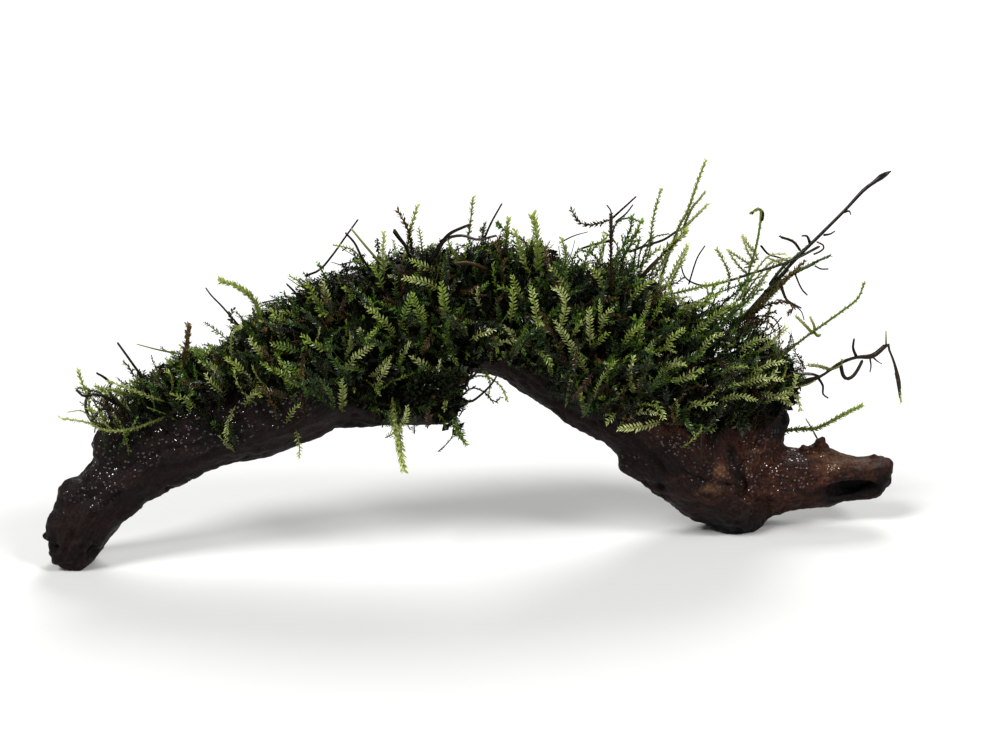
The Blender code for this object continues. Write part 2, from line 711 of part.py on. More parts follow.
def mossy_clumps(moss, wood):
    """Adds the shoots to the moss, takes the wood out of it, and parts it into clumps."""
    grown_from_it = [(points, width, SHOOT_STEP) for points, width in SHOOTS]
    grown_from_it += [(points, FRINGE_WIDTH, FRINGE_STEP) for points in fringe()]
    for points, width, step in grown_from_it:
        shoot = tube("shoot", points, [width, width, width * TIP_TAPER], SHOOT_SIDES, step)
        with_modifier(moss, "BOOLEAN", operation="UNION", object=shoot)
        removed([shoot])
    cutters = [grown(wood, MOSS_TO_WOOD, "wood_cutter")]
    for centre, direction in CLUMP_PARTS:
        cutters.append(cutting_slab("clump_cutter", centre, direction, KERF, CLUMP_PART_REACH))
    cut_by(moss, cutters)
    return name_bodies(loose_bodies(moss), MOSS_PLACES)


def wooden_limbs(wood):
    cutters = [floor_block()]
    for centre, direction, reach in FORKS:
        cutters.append(cutting_slab("fork_cutter", centre, direction, KERF, reach))
    cut_by(wood, cutters)
    return name_bodies(loose_bodies(wood), WOOD_PLACES)


def long_stems(around):
    """Each long stem, cut short where it would enter the clumps or the wood."""
    keep_out = join_meshes("keep_out", [grown(obj, STEM_TO_MOSS, "stem_cutter") for obj in around])
    with_modifier(keep_out, "REMESH", mode="VOXEL", voxel_size=KEEP_OUT_VOXEL * MM)
    stems = {}
    for name, (points, root_width, tip_width) in LONG_STEMS.items():
        stem = tube(name, points, [root_width, tip_width], STEM_SIDES, STEM_STEP)
        if name == "stem_long_dark":
            bud = ball("bud", *BUD_ON_LONG_DARK, fineness=1)
            with_modifier(stem, "BOOLEAN", operation="UNION", object=bud)
            removed([bud])
        with_modifier(stem, "BOOLEAN", operation="DIFFERENCE", object=keep_out)
        tip = points[-1]
        tip_body = min(loose_bodies(stem), key=lambda body: distance_to(body, tip))
        stems[name] = object_from(tip_body, name)
    removed([keep_out])
    return stems


def placed(obj, start, whole):
    """Puts a piece's origin at its start, and the piece in the frame whose origin is the base's middle."""
    own_origin = Vector(start) * MM
    for vertex in obj.data.vertices:
        vertex.co -= own_origin
    obj.location = own_origin - Vector((*BASE_MIDDLE, 0.0)) * MM
    obj.parent = whole


def main():
    clear_scene()
    wood = rough_wood()
    moss = rough_moss()
    clumps = mossy_clumps(moss, wood)
    limbs = wooden_limbs(wood)
    stems = long_stems([*clumps.values(), *limbs.values()])
    whole = bpy.data.objects.new("moss_on_driftwood", None)
    bpy.context.scene.collection.objects.link(whole)
    stem_roots = {name: path[0] for name, (path, _, _) in LONG_STEMS.items()}
    starts = {**WOOD_PLACES, **MOSS_PLACES, **stem_roots}
    colours = {**WOOD_COLOURS, **MOSS_COLOURS, **STEM_COLOURS}
    for name, obj in {**limbs, **clumps, **stems}.items():
        placed(obj, starts[name], whole)
        roughness = WOOD_ROUGHNESS if name in WOOD_COLOURS else MOSS_ROUGHNESS
        obj.data.materials.clear()
        obj.data.materials.append(finish_material(f"{name}_finish", colours[name], roughness))
        obj.data.shade_smooth()
        obj.data.set_sharp_from_angle(angle=math.radians(SHARP_DEGREES))


if __name__ == "__main__":
    main()
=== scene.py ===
"""The looks of aquarium moss on driftwood: wet bark, leafy shoots and wiry stems.

An add-on file that is run as a script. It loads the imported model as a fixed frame, and each
operator makes one group of pieces in place of the plain solids. Tables are in millimetres.
"""

import math

import bmesh
import bpy
import numpy as np
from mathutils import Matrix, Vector, noise
from mathutils.bvhtree import BVHTree


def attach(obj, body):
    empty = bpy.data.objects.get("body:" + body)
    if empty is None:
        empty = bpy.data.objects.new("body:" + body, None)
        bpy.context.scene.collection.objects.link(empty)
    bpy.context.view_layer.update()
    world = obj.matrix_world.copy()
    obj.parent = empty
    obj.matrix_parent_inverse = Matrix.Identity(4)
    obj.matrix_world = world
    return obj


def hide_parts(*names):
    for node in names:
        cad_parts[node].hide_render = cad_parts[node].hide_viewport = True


bl_info = {
    "name": "Aquarium moss on driftwood",
    "version": (1, 0, 0),
    "blender": (4, 5, 0),
    "location": "3D View > Sidebar > Moss",
    "description": "Makes wet driftwood with leafy aquarium moss, in a plain studio",
    "category": "Object",
}

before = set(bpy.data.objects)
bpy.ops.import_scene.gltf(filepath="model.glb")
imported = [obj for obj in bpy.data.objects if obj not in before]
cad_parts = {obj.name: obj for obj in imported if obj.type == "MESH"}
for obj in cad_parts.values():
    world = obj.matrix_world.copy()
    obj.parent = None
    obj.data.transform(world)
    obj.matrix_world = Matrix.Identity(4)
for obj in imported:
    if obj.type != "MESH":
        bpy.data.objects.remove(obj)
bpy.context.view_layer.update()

MM = 0.001
# Where the middle of the base lies in the tables of strands, places on the wood and long stems
BASE_MIDDLE = Vector((1.3, -4.2, 0.0))
LEAF_MAP = "OFBake"
# Leaves all round a shoot follow each other by this angle.
GOLDEN_TURN = 2.4
# Share of the leaves that a shoot has lost
LOST_LEAVES = 0.08

# How far apart the points of a curve lie: of a strand's grain, of a groove and of a shoot
GRAIN_STEP = 1.0
GROOVE_STEP = 0.4
SHOOT_STEP = 0.5

# Noises of the wood's surface: size in millimetres and an offset that sets each one apart. The
# first three run along, across and out of the grain, and the last two right, away and up.
FIBRES = ((17.0, 2.1, 2.1), 5.0)
THREADS = ((7.0, 1.05, 1.05), 11.0)
PITS = ((2.2, 1.4, 1.4), 23.0)
PATCHES = ((9.0, 9.0, 9.0), 17.0)
STAIN_AND_SHADE_EDGES = ((4.0, 4.0, 2.0), 41.0)
# The lumps of the wood's surface: size in millimetres and share of the height
LUMP_SIZES = [(6.5, 0.8), (2.7, 0.5), (1.4, 0.35)]
# One strand's grain starts this far past the one before, so that no two look alike.
STRAND_OFFSET = 300
# Smoothing shrinks the wood by about this much, so it is swollen first.
SWELLING = 0.22
# Below this height the feet are worn smooth.
WORN_FEET = 2.0
# A patch of fewer faces than this belongs to the solid that lies round it.
STRAY_FACES = 400
# So many points are placed in the grain at a time.
CHUNK = 4000

WOOD_PIECES = {
    "wet_left_limb": "driftwood_left_limb",
    "wet_arch": "driftwood_arch",
    "wet_inner_stub": "driftwood_inner_stub",
    "wet_right_limb": "driftwood_right_limb",
    "wet_upper_stub": "driftwood_upper_stub",
}

# Strands of the wood, for its grain: right, away, up, mean radius
STRANDS = [
    [
        (-94.0, -18.2, 1.2, 6), (-88.6, -17.3, 11.5, 7), (-80.2, -15.5, 20.7, 8),
        (-73.5, -14.4, 26.6, 10), (-64.6, -13.4, 30.9, 10), (-51.2, -11.4, 34.6, 10),
        (-38.6, -8.8, 40.6, 11), (-27.0, -6.4, 51.4, 12), (-14.9, -4.6, 55.6, 12),
        (0.5, -3.0, 55.4, 12), (14.2, -0.8, 50.2, 11), (26.5, 1.6, 40.7, 12), (38.0, 3.6, 32.1, 11),
        (49.0, 5.6, 21.4, 12), (57.3, 7.0, 12.6, 10), (63.6, 7.9, 6.6, 8),
    ],
    [
        (56.5, 9.6, 13.0, 8), (71.8, 11.6, 10.6, 8), (85.2, 12.6, 11.2, 7), (99.8, 13.5, 12.8, 4),
    ],
    [
        (63.2, 11.0, 12.0, 8), (65.6, 11.8, 19.0, 8), (69.2, 12.2, 28.6, 5),
    ],
    [
        (-42.0, -8.6, 37.6, 8), (-26.0, -7.2, 36.4, 6), (-4.0, -6.0, 34.6, 4),
    ],
]

# Worn, stained and broken places of the wood, and painted shade in its hollows, grooves,
# cracks and underside, by tone: centre, radii
WOOD_STAINS_AND_SHADE = {
    "red": [
        ((84.0, 8.0, 12.0), (34.0, 22.0, 14.0)), ((66.0, 6.0, 22.0), (16.0, 20.0, 14.0)),
        ((50.0, 0.0, 34.0), (18.0, 16.0, 9.0)),
    ],
    "tan": [
        ((56.0, -4.2, 13.6), (3.0, 4.0, 1.1)), ((57.9, -2.6, 17.8), (1.5, 4.0, 1.9)),
        ((91.0, 8.0, 17.0), (9.0, 7.0, 1.8)), ((69.0, 2.0, 20.4), (3.6, 4.0, 1.0)),
    ],
    # Painted shade: near black in the hollows, grooves and cracks, and under the wood
    "painted_shade": [
        ((92.0, 7.0, 8.6), (11.0, 12.0, 4.8)), ((99.0, 8.0, 10.4), (6.0, 12.0, 6.0)),
        ((102.0, 12.0, 12.6), (2.0, 8.0, 6.0)), ((-96.0, -20.0, 4.0), (3.0, 8.0, 4.0)),
        ((60.0, 8.0, 1.2), (24.0, 20.0, 5.0)), ((74.0, 8.0, 27.0), (4.4, 12.0, 6.0)),
        ((57.5, -3.6, 25.8), (2.2, 4.0, 2.8)), ((61.4, -1.6, 21.8), (1.9, 4.0, 3.6)),
        ((63.2, -1.0, 16.6), (1.9, 4.0, 5.0)),
    ],
    "wet": [
        ((-52.0, -20.0, 34.0), (30.0, 14.0, 12.0)), ((-79.0, -20.0, 24.0), (13.0, 12.0, 10.0)),
        ((40.0, -8.0, 27.0), (20.0, 14.0, 14.0)), ((52.0, -6.0, 17.0), (9.0, 8.0, 9.0)),
        ((70.0, 2.0, 16.0), (16.0, 12.0, 9.0)),
    ],
}

# Grooves that rot and water have cut: path, half width, depth
WOOD_GROOVES = [
    ([(55.0, -4.6, 27.5), (60.4, -2.6, 24.0), (64.2, -0.6, 19.0), (64.4, 0.6, 13.4)], 1.3, 1.8),
    ([(53.4, -5.2, 16.0), (56.5, -4.6, 15.0), (59.6, -3.0, 14.4), (64.0, -0.6, 13.0)], 0.45, 1.4),
    ([(70.0, 3.4, 17.2), (78.0, 4.4, 16.4), (85.0, 5.4, 16.6)], 0.6, 0.6),
    ([(72.0, 3.4, 13.8), (79.0, 4.2, 13.2), (84.0, 5.2, 12.4)], 0.6, 0.6),
    ([(68.0, 2.6, 8.4), (75.0, 4.0, 7.4), (82.0, 5.0, 7.6)], 0.7, 0.8),
    ([(46.0, -4.6, 20.4), (51.0, -4.4, 17.0), (56.0, -4.0, 15.4)], 0.7, 0.9),
    ([(30.0, -6.2, 33.0), (38.0, -5.4, 26.6), (46.0, -4.8, 17.0)], 0.8, 0.8),
    ([(-90.0, -24.6, 8.4), (-86.0, -24.2, 13.6), (-80.0, -23.8, 19.0)], 0.8, 1.1),
    ([(-93.4, -24.4, 3.4), (-91.6, -24.8, 8.6), (-89.0, -24.2, 13.0)], 0.7, 1.1),
    ([(-79.0, -23.6, 24.0), (-70.0, -23.0, 28.6), (-60.0, -22.6, 30.6)], 0.8, 0.7),
    ([(-66.0, -22.0, 26.0), (-54.0, -20.6, 29.6), (-44.0, -18.6, 33.0)], 0.9, 0.7),
]

# Hollows and, with a minus, knobs of the wood: centre, radii, depth
WOOD_DENTS = [
    ((91.0, 5.0, 9.4), (9.0, 5.6, 3.2), 2.8),
    ((94.0, 5.0, 9.4), (5.0, 5.0, 2.4), 1.4),
    ((97.0, 14.0, 18.0), (5.0, 8.0, 3.0), 1.0),
    ((101.4, 10.0, 15.0), (2.4, 6.0, 2.4), -1.6),
    ((83.6, 12.0, 20.8), (1.2, 3.0, 1.8), -0.9),
    ((79.6, 12.0, 20.0), (0.9, 3.0, 1.6), -0.9),
    ((81.6, 12.0, 21.0), (0.9, 3.0, 1.2), 0.7),
    ((98.0, 8.0, 7.4), (1.8, 4.0, 1.6), -0.7),
    ((-97.0, -18.0, 6.3), (3.6, 9.0, 0.9), 2.4),
    ((-95.4, -18.0, 2.4), (1.8, 6.0, 1.3), -0.6),
    ((-92.0, -27.0, 0.6), (7.0, 4.0, 2.4), 1.6),
    ((-86.4, -25.0, 4.2), (1.4, 5.0, 3.0), 1.5),
    ((-91.4, -20.0, 18.4), (3.6, 5.0, 3.4), -1.0),
    ((-94.6, -22.0, 13.0), (2.0, 5.0, 1.6), 0.9),
    ((-82.0, -18.0, 30.0), (4.0, 5.0, 3.0), -0.7),
    ((52.0, -6.0, 9.0), (5.0, 5.0, 2.6), 0.9),
    ((76.0, 4.0, 11.0), (4.0, 4.0, 2.0), 0.6),
]

# The photograph's own camera: what it looks at, how far off it stands, and its frame
LOOKED_AT = Vector((6.3, 0.0, 40.5)) - BASE_MIDDLE
CAMERA_DISTANCE = 520.0
CAMERA_ELEVATION = math.radians(15)
CAMERA_LENS = 80.0
SENSOR_WIDTH = 36.0
FRAME_WIDTH = 1000
FRAME_HEIGHT = 750

# Bright shoots over the front of the moss, as the photograph shows them: root to tip in its
# own frame, leaf length, tone. Each lies on the moss that carries it.
FRONT_SHOOTS = [
    ([(375, 388), (383, 374), (389, 363)], 1.4, 0.93),
    ([(342, 412), (343, 396), (342, 380)], 1.4, 0.90),
    ([(560, 330), (566, 304), (560, 290), (552, 288)], 1.5, 0.95),
    ([(539, 328), (535, 306), (531, 287)], 1.4, 0.88),
    ([(588, 374), (569, 343), (555, 321)], 1.5, 0.93),
    ([(572, 336), (578, 328), (582, 322)], 1.2, 0.86),
    ([(590, 347), (590, 328), (589, 309)], 1.4, 0.92),
    ([(569, 292), (560, 280), (550, 267)], 1.3, 0.90),
    ([(585, 416), (584, 404), (581, 394)], 1.2, 0.82),
    ([(660, 422), (640, 427), (619, 429)], 1.5, 0.96),
    ([(616, 413), (611, 419), (606, 424)], 1.2, 0.92),
    ([(395, 338), (385, 322), (366, 307)], 1.4, 0.86),
    ([(372, 350), (366, 340), (376, 330)], 1.1, 0.80),
    ([(330, 352), (318, 346), (302, 336)], 1.4, 0.80),
    ([(300, 352), (285, 347), (272, 344)], 1.3, 0.72),
    ([(345, 372), (355, 358), (374, 344)], 1.4, 0.92),
    ([(402, 362), (404, 352), (410, 343)], 1.3, 0.93),
    ([(438, 376), (425, 366), (412, 357)], 1.4, 0.94),
    ([(436, 392), (437, 376), (440, 362)], 1.4, 0.96),
    ([(400, 328), (405, 312), (412, 294)], 1.3, 0.74),
    ([(424, 325), (417, 308), (413, 294)], 1.3, 0.80),
    ([(447, 326), (444, 302), (441, 282)], 1.6, 0.78),
    ([(440, 290), (424, 282), (404, 278)], 1.4, 0.92),
    ([(436, 272), (424, 266), (410, 260)], 1.3, 0.88),
    ([(460, 262), (452, 252), (448, 240)], 1.3, 0.80),
    ([(383, 290), (378, 275), (372, 262)], 1.3, 0.78),
    ([(470, 340), (481, 334), (494, 330)], 1.2, 0.94),
    ([(496, 346), (504, 342), (514, 340)], 1.3, 0.93),
    ([(510, 322), (513, 304), (512, 288)], 1.3, 0.86),
    ([(522, 300), (516, 286), (512, 276)], 1.2, 0.84),
    ([(535, 348), (545, 356), (552, 366)], 1.2, 0.80),
    ([(600, 330), (604, 318), (612, 308)], 1.3, 0.90),
    ([(622, 345), (630, 334), (640, 326)], 1.3, 0.84),
    ([(640, 372), (648, 360), (652, 346)], 1.3, 0.72),
    ([(664, 350), (672, 338), (684, 330)], 1.3, 0.86),
    ([(676, 384), (690, 374), (704, 370)], 1.3, 0.88),
    ([(700, 352), (710, 340), (722, 334)], 1.2, 0.92),
    ([(712, 392), (728, 384), (744, 382)], 1.3, 0.92),
    ([(690, 402), (704, 406), (716, 404)], 1.3, 0.90),
    ([(654, 398), (660, 410), (664, 418)], 1.3, 0.86),
    ([(630, 300), (640, 288), (654, 280)], 1.2, 0.84),
    ([(655, 316), (662, 300), (672, 290)], 1.2, 0.80),
    ([(603, 290), (598, 276), (588, 266)], 1.2, 0.86),
    ([(246, 375), (236, 364), (226, 358)], 1.3, 0.88),
    ([(222, 392), (212, 384), (206, 374)], 1.2, 0.92),
    ([(268, 388), (258, 378), (252, 366)], 1.3, 0.86),
    ([(196, 408), (182, 398), (170, 394)], 1.2, 0.86),
    ([(286, 322), (276, 314), (268, 310)], 1.2, 0.86),
    ([(318, 306), (312, 292), (306, 282)], 1.2, 0.80),
    ([(262, 356), (254, 346), (250, 338)], 1.2, 0.94),
    ([(300, 380), (292, 368), (280, 362)], 1.3, 0.72),
    ([(740, 352), (752, 342), (768, 338)], 1.2, 0.92),
    ([(752, 372), (768, 364), (786, 362)], 1.2, 0.94),
    ([(726, 318), (738, 306), (752, 300)], 1.1, 0.84),
    ([(696, 312), (706, 300), (720, 294)], 1.1, 0.84),
    ([(366, 268), (356, 252), (345, 247), (333, 245)], 0.9, 0.86),
    ([(423, 252), (421, 240), (419, 228)], 1.1, 0.80),
    ([(655, 298), (675, 293), (700, 287), (730, 280)], 1.1, 0.80),
    ([(700, 300), (720, 292), (742, 284), (762, 276)], 1.0, 0.60),
    ([(690, 336), (712, 318), (735, 302)], 1.2, 0.82),
    ([(758, 352), (770, 342), (788, 328)], 1.1, 0.92),
    ([(742, 300), (752, 288), (766, 282)], 1.0, 0.72),
    ([(768, 300), (784, 284), (797, 270)], 0.9, 0.88),
    ([(745, 385), (762, 378), (782, 380)], 1.2, 0.94),
    ([(720, 400), (738, 396), (756, 400)], 1.2, 0.90),
    ([(760, 392), (776, 396), (790, 392)], 1.1, 0.94),
    ([(212, 372), (204, 360), (196, 350)], 1.1, 0.60),
    ([(232, 360), (231, 342), (234, 331), (241, 329)], 0.7, 0.90),
    ([(235, 452), (226, 443), (219, 436)], 0.9, 0.90),
    ([(296, 430), (299, 444), (299, 458)], 1.1, 0.88),
    ([(286, 424), (292, 412), (300, 404)], 1.0, 0.90),
]

# Thick shoots with leaves all round, like ropes, in the same frame and order
ROPE_SHOOTS = [
    ([(384, 275), (383, 254), (384, 234)], 1.5, 0.92),
    ([(412, 250), (408, 230), (398, 211)], 1.4, 0.15),
    ([(407, 250), (411, 228), (417, 208)], 1.3, 0.86),
    ([(468, 240), (471, 218), (473, 197)], 1.2, 0.86),
    ([(506, 246), (507, 232), (508, 220)], 1.3, 0.84),
    ([(530, 275), (522, 255), (515, 231)], 1.5, 0.84),
    ([(536, 272), (538, 246), (533, 214)], 2.0, 0.86),
    ([(612, 219), (600, 223), (588, 225), (578, 221), (572, 211)], 1.2, 0.17),
    ([(655, 277), (668, 253), (681, 238), (686, 231)], 1.5, 0.92),
    ([(668, 290), (678, 268), (688, 246)], 1.3, 0.90),
    ([(728, 292), (729, 275), (724, 262), (717, 250)], 1.2, 0.84),
    ([(748, 276), (737, 264), (729, 252)], 1.1, 0.94),
    ([(738, 334), (756, 308), (782, 282), (804, 262)], 1.3, 0.13),
    ([(690, 350), (712, 334), (735, 312), (760, 290)], 1.4, 0.50),
    ([(184, 368), (186, 345), (188, 326)], 1.5, 0.15),
    ([(112, 422), (98, 424), (91, 411), (88, 398), (83, 385), (78, 371)], 1.2, 0.84),
    ([(640, 268), (650, 240), (654, 214), (661, 190)], 1.2, 0.80),
    ([(398, 420), (400, 440), (403, 466)], 1.7, 0.92),
    ([(452, 410), (456, 428), (466, 444)], 1.5, 0.70),
    ([(650, 276), (663, 252), (676, 240), (684, 232)], 1.5, 0.86),
    ([(663, 291), (670, 278), (678, 262), (687, 246)], 1.0, 0.96),
    ([(672, 294), (690, 290), (706, 286), (722, 283)], 0.9, 0.76),
    ([(751, 266), (740, 258), (729, 251)], 1.1, 0.98),
    ([(757, 258), (749, 246), (743, 237)], 1.3, 0.98),
    ([(646, 262), (650, 248), (652, 236)], 1.0, 0.50),
    ([(702, 308), (709, 299), (714, 287)], 1.2, 0.62),
    ([(690, 318), (684, 306), (677, 297)], 1.3, 0.92),
    ([(716, 311), (727, 300), (738, 291), (747, 280)], 1.3, 0.54),
    ([(733, 306), (742, 294), (746, 283)], 1.1, 0.82),
    ([(624, 246), (636, 234), (641, 222)], 1.4, 0.72),
    ([(612, 236), (616, 224), (627, 218), (641, 222)], 0.9, 0.66),
    ([(622, 262), (631, 244), (637, 230)], 1.2, 0.80),
    ([(606, 270), (619, 253), (627, 240)], 1.1, 0.62),
    ([(596, 268), (602, 252), (604, 236)], 1.2, 0.84),
    ([(584, 274), (586, 258), (592, 244)], 1.2, 0.74),
    ([(564, 270), (566, 254), (562, 240)], 1.2, 0.82),
    ([(574, 276), (572, 262), (578, 250)], 1.1, 0.60),
    ([(668, 306), (672, 296), (668, 284)], 1.2, 0.86),
    ([(680, 314), (694, 306), (706, 304)], 1.2, 0.80),
    ([(722, 316), (732, 308), (744, 304)], 1.2, 0.74),
    ([(760, 326), (768, 316), (770, 304)], 1.1, 0.66),
    ([(750, 318), (757, 310), (768, 305), (782, 302), (793, 306), (789, 313)], 1.3, 0.11),
    ([(744, 320), (761, 316), (772, 317), (779, 326), (779, 337), (778, 352)], 0.8, 0.09),
    ([(748, 326), (757, 322), (768, 322), (774, 330)], 1.1, 0.12),
    ([(752, 334), (758, 324), (766, 314), (776, 312)], 1.1, 0.08),
    ([(164, 401), (150, 397), (130, 389), (108, 381)], 1.0, 0.92),
    ([(756, 352), (770, 345), (785, 326)], 0.9, 0.97),
    ([(760, 285), (770, 270), (782, 262)], 0.9, 0.96),
    ([(752, 292), (764, 276), (774, 264)], 0.9, 0.92),
    ([(740, 300), (748, 282), (758, 268)], 0.9, 0.86),
    ([(710, 310), (716, 296), (722, 288)], 0.9, 0.80),
    ([(638, 268), (640, 252), (647, 242), (657, 236), (668, 234)], 0.7, 0.60),
    ([(634, 262), (636, 250), (640, 238)], 1.1, 0.74),
    ([(622, 268), (624, 252), (622, 236)], 1.0, 0.70),
    ([(782, 392), (796, 396), (800, 409)], 1.3, 0.95),
    ([(780, 396), (786, 402), (790, 404)], 1.2, 0.95),
    ([(636, 345), (640, 330), (634, 318)], 1.3, 0.70),
    ([(640, 352), (632, 336), (640, 322)], 1.3, 0.66),
    ([(632, 390), (630, 374), (633, 358)], 1.1, 0.92),
    ([(664, 370), (674, 365), (684, 364)], 1.2, 0.94),
    ([(408, 398), (414, 385), (420, 370)], 1.6, 0.42),
    ([(418, 402), (424, 388), (432, 373)], 1.6, 0.36),
    ([(428, 404), (434, 390), (438, 373)], 1.6, 0.46),
    ([(440, 402), (446, 388), (448, 371)], 1.6, 0.40),
    ([(448, 392), (434, 384), (418, 380)], 1.6, 0.30),
    ([(402, 388), (416, 380), (432, 370)], 1.6, 0.34),
    ([(454, 398), (456, 384), (462, 372)], 1.5, 0.44),
    ([(450, 380), (436, 376), (422, 374)], 1.5, 0.34),
    # These three broad dark ropes fill a dark gap by the inner stub, dark partly as old moss and
    # partly as painted shade.
    ([(400, 388), (418, 379), (440, 374), (462, 371)], 2.3, 0.25),
    ([(404, 396), (426, 388), (446, 382), (458, 376)], 2.4, 0.27),
    ([(414, 402), (434, 396), (452, 388), (460, 380)], 2.2, 0.24),
    ([(462, 396), (472, 388), (484, 392), (494, 402), (500, 398)], 0.9, 0.44),
    ([(462, 384), (476, 376), (490, 378), (502, 388), (507, 400)], 0.9, 0.84),
    ([(478, 364), (486, 374), (490, 384), (488, 396)], 0.9, 0.88),
    ([(728, 402), (740, 412), (748, 426)], 1.8, 0.28),
    ([(754, 402), (746, 412), (738, 426)], 1.8, 0.26),
    ([(740, 400), (743, 414), (743, 430)], 2.0, 0.30),
    ([(126, 394), (112, 390), (96, 388)], 1.0, 0.84),
    ([(112, 400), (106, 392), (96, 386)], 1.1, 0.72),
    ([(118, 400), (104, 394), (90, 390), (78, 388)], 1.0, 0.56),
    ([(108, 426), (100, 414), (88, 408)], 1.0, 0.88),
    ([(134, 376), (128, 366), (124, 362)], 1.1, 0.60),
    ([(230, 336), (233, 328), (241, 326)], 0.7, 0.93),
    ([(246, 332), (242, 318), (236, 312)], 0.9, 0.60),
    ([(306, 290), (300, 282), (290, 276)], 0.9, 0.80),
    ([(330, 284), (324, 274), (318, 264)], 1.1, 0.66),
    ([(620, 262), (628, 248), (638, 240)], 1.1, 0.66),
    ([(640, 268), (650, 256), (660, 248)], 1.2, 0.90),
    ([(588, 256), (596, 246), (606, 238)], 1.0, 0.80),
    ([(600, 262), (592, 254), (580, 250)], 1.0, 0.60),
    ([(616, 262), (618, 248), (612, 238), (604, 232)], 1.0, 0.84),
    ([(624, 244), (630, 230), (632, 218)], 1.3, 0.62),
    ([(700, 306), (708, 296), (706, 284)], 1.0, 0.90),
    ([(734, 300), (740, 288), (738, 278)], 1.0, 0.88),
    ([(746, 288), (758, 268), (770, 255), (784, 254)], 0.9, 0.97),
    ([(748, 290), (760, 274), (772, 262), (790, 258)], 0.9, 0.95),
    ([(784, 388), (793, 388), (796, 376)], 1.2, 0.93),
    ([(756, 388), (766, 382), (776, 372)], 1.3, 0.95),
    ([(762, 404), (772, 398), (786, 398)], 1.3, 0.94),
]

# Bare dark stems and old dead ones, in the same frame: path, widths at root and tip, tone
TWIGS = [
    ([(642, 278), (650, 268), (660, 258)], (1.3, 0.9), 0.07),
    ([(689, 284), (697, 259), (705, 246)], (0.5, 0.4), 0.03),
    ([(715, 285), (733, 280), (754, 273), (775, 267), (796, 259), (819, 247)], (0.7, 0.8), 0.02),
    ([(715, 285), (701, 285), (690, 281), (684, 275), (681, 264)], (0.7, 0.4), 0.02),
    ([(757, 332), (758, 345)], (1.0, 0.6), 0.03),
    ([(486, 269), (478, 265), (466, 262), (455, 263)], (1.2, 0.8), 0.16),
    ([(764, 322), (756, 318), (750, 324), (756, 331)], (0.7, 0.4), 0.06),
    ([(782, 317), (774, 326), (770, 334)], (0.4, 0.3), 0.08),
    ([(768, 318), (766, 328), (760, 336)], (0.5, 0.3), 0.05),
    ([(790, 372), (800, 374), (812, 375)], (0.6, 0.6), 0.03),
    ([(371, 270), (362, 257), (355, 243), (346, 233)], (0.8, 0.6), 0.01),
    ([(380, 262), (366, 246), (352, 229)], (0.8, 0.6), 0.97),
    ([(306, 276), (320, 270), (333, 255), (345, 238), (358, 220)], (0.7, 0.5), 0.03),
    ([(430, 262), (440, 246), (449, 235), (458, 230), (470, 225)], (1.3, 0.8), 0.02),
    ([(436, 256), (446, 240), (462, 236), (478, 240), (496, 236)], (1.0, 0.7), 0.03),
    ([(484, 240), (492, 222), (502, 204)], (0.7, 0.5), 0.05),
    ([(410, 256), (406, 246), (400, 238), (395, 231)], (0.9, 1.3), 0.03),
    ([(262, 303), (272, 301), (282, 300)], (0.5, 0.4), 0.02),
    ([(302, 302), (295, 292), (287, 284)], (0.9, 0.5), 0.02),
    ([(612, 240), (598, 243), (582, 248)], (0.90, 0.60), 0.02),
    ([(604, 246), (602, 258), (596, 270)], (0.40, 0.20), 0.03),
    ([(560, 243), (574, 236), (588, 232)], (0.50, 0.25), 0.03),
    ([(566, 268), (572, 252), (575, 240)], (0.30, 0.18), 0.05),
    ([(613, 218), (624, 208), (636, 197)], (0.7, 0.5), 0.03),
    ([(616, 222), (626, 214), (633, 205)], (0.6, 0.4), 0.03),
    ([(612, 222), (611, 211), (607, 205)], (0.5, 0.4), 0.03),
    ([(630, 252), (646, 246), (664, 240), (676, 232)], (0.8, 0.7), 0.03),
    ([(648, 272), (658, 260), (668, 250), (678, 240)], (0.8, 0.6), 0.08),
    ([(786, 302), (800, 310), (804, 320)], (0.5, 0.3), 0.05),
    ([(148, 384), (136, 368), (126, 354), (118, 343)], (0.8, 0.6), 0.01),
    ([(176, 353), (156, 349), (137, 344)], (0.6, 0.3), 0.95),
    ([(112, 384), (104, 377), (97, 373)], (0.9, 0.6), 0.01),
    ([(116, 404), (104, 396), (92, 394), (84, 396), (77, 390)], (0.9, 0.7), 0.02),
    ([(112, 420), (106, 408), (98, 412), (92, 420)], (1.0, 0.8), 0.02),
    ([(124, 408), (112, 396), (110, 386)], (1.0, 0.8), 0.02),
    ([(112, 424), (98, 426), (88, 414), (86, 402), (90, 392)], (1.0, 0.8), 0.04),
    ([(108, 398), (106, 408), (112, 416)], (0.9, 0.8), 0.04),
    ([(248, 336), (236, 322), (222, 306), (212, 296), (206, 288)], (0.7, 0.4), 0.05),
    ([(250, 324), (242, 319), (235, 315)], (0.30, 0.15), 0.30),
    ([(292, 301), (278, 303), (264, 303)], (0.30, 0.15), 0.30),
    ([(312, 291), (300, 286), (288, 278)], (0.40, 0.20), 0.30),
    ([(290, 307), (285, 302), (281, 296)], (0.50, 0.30), 0.22),
    ([(280, 314), (272, 309), (264, 308)], (0.45, 0.20), 0.04),
    ([(460, 398), (470, 402), (480, 396), (492, 384), (498, 374)], (0.8, 0.5), 0.28),
    ([(458, 378), (468, 380), (478, 372)], (1.1, 0.6), 0.02),
    ([(456, 386), (464, 388), (470, 378), (474, 370)], (1.0, 0.6), 0.02),
]

# Where the moss thins out: centre, radii
AIRY_PLACES = [
    ((74.0, 4.0, 72.0), (20.0, 30.0, 17.0)),
    ((50.0, 2.0, 80.0), (18.0, 26.0, 14.0)),
    ((-88.0, -14.0, 42.0), (14.0, 22.0, 14.0)),
]

# The moss's lower edge on the front, in the photograph's frame
MOSS_EDGE = [
    (60, 396), (110, 390), (160, 386), (220, 384), (290, 388), (340, 398), (380, 416), (430, 426),
    (460, 404), (510, 380), (545, 396), (600, 408), (650, 416), (700, 406), (740, 405), (765, 391),
    (800, 384),
]
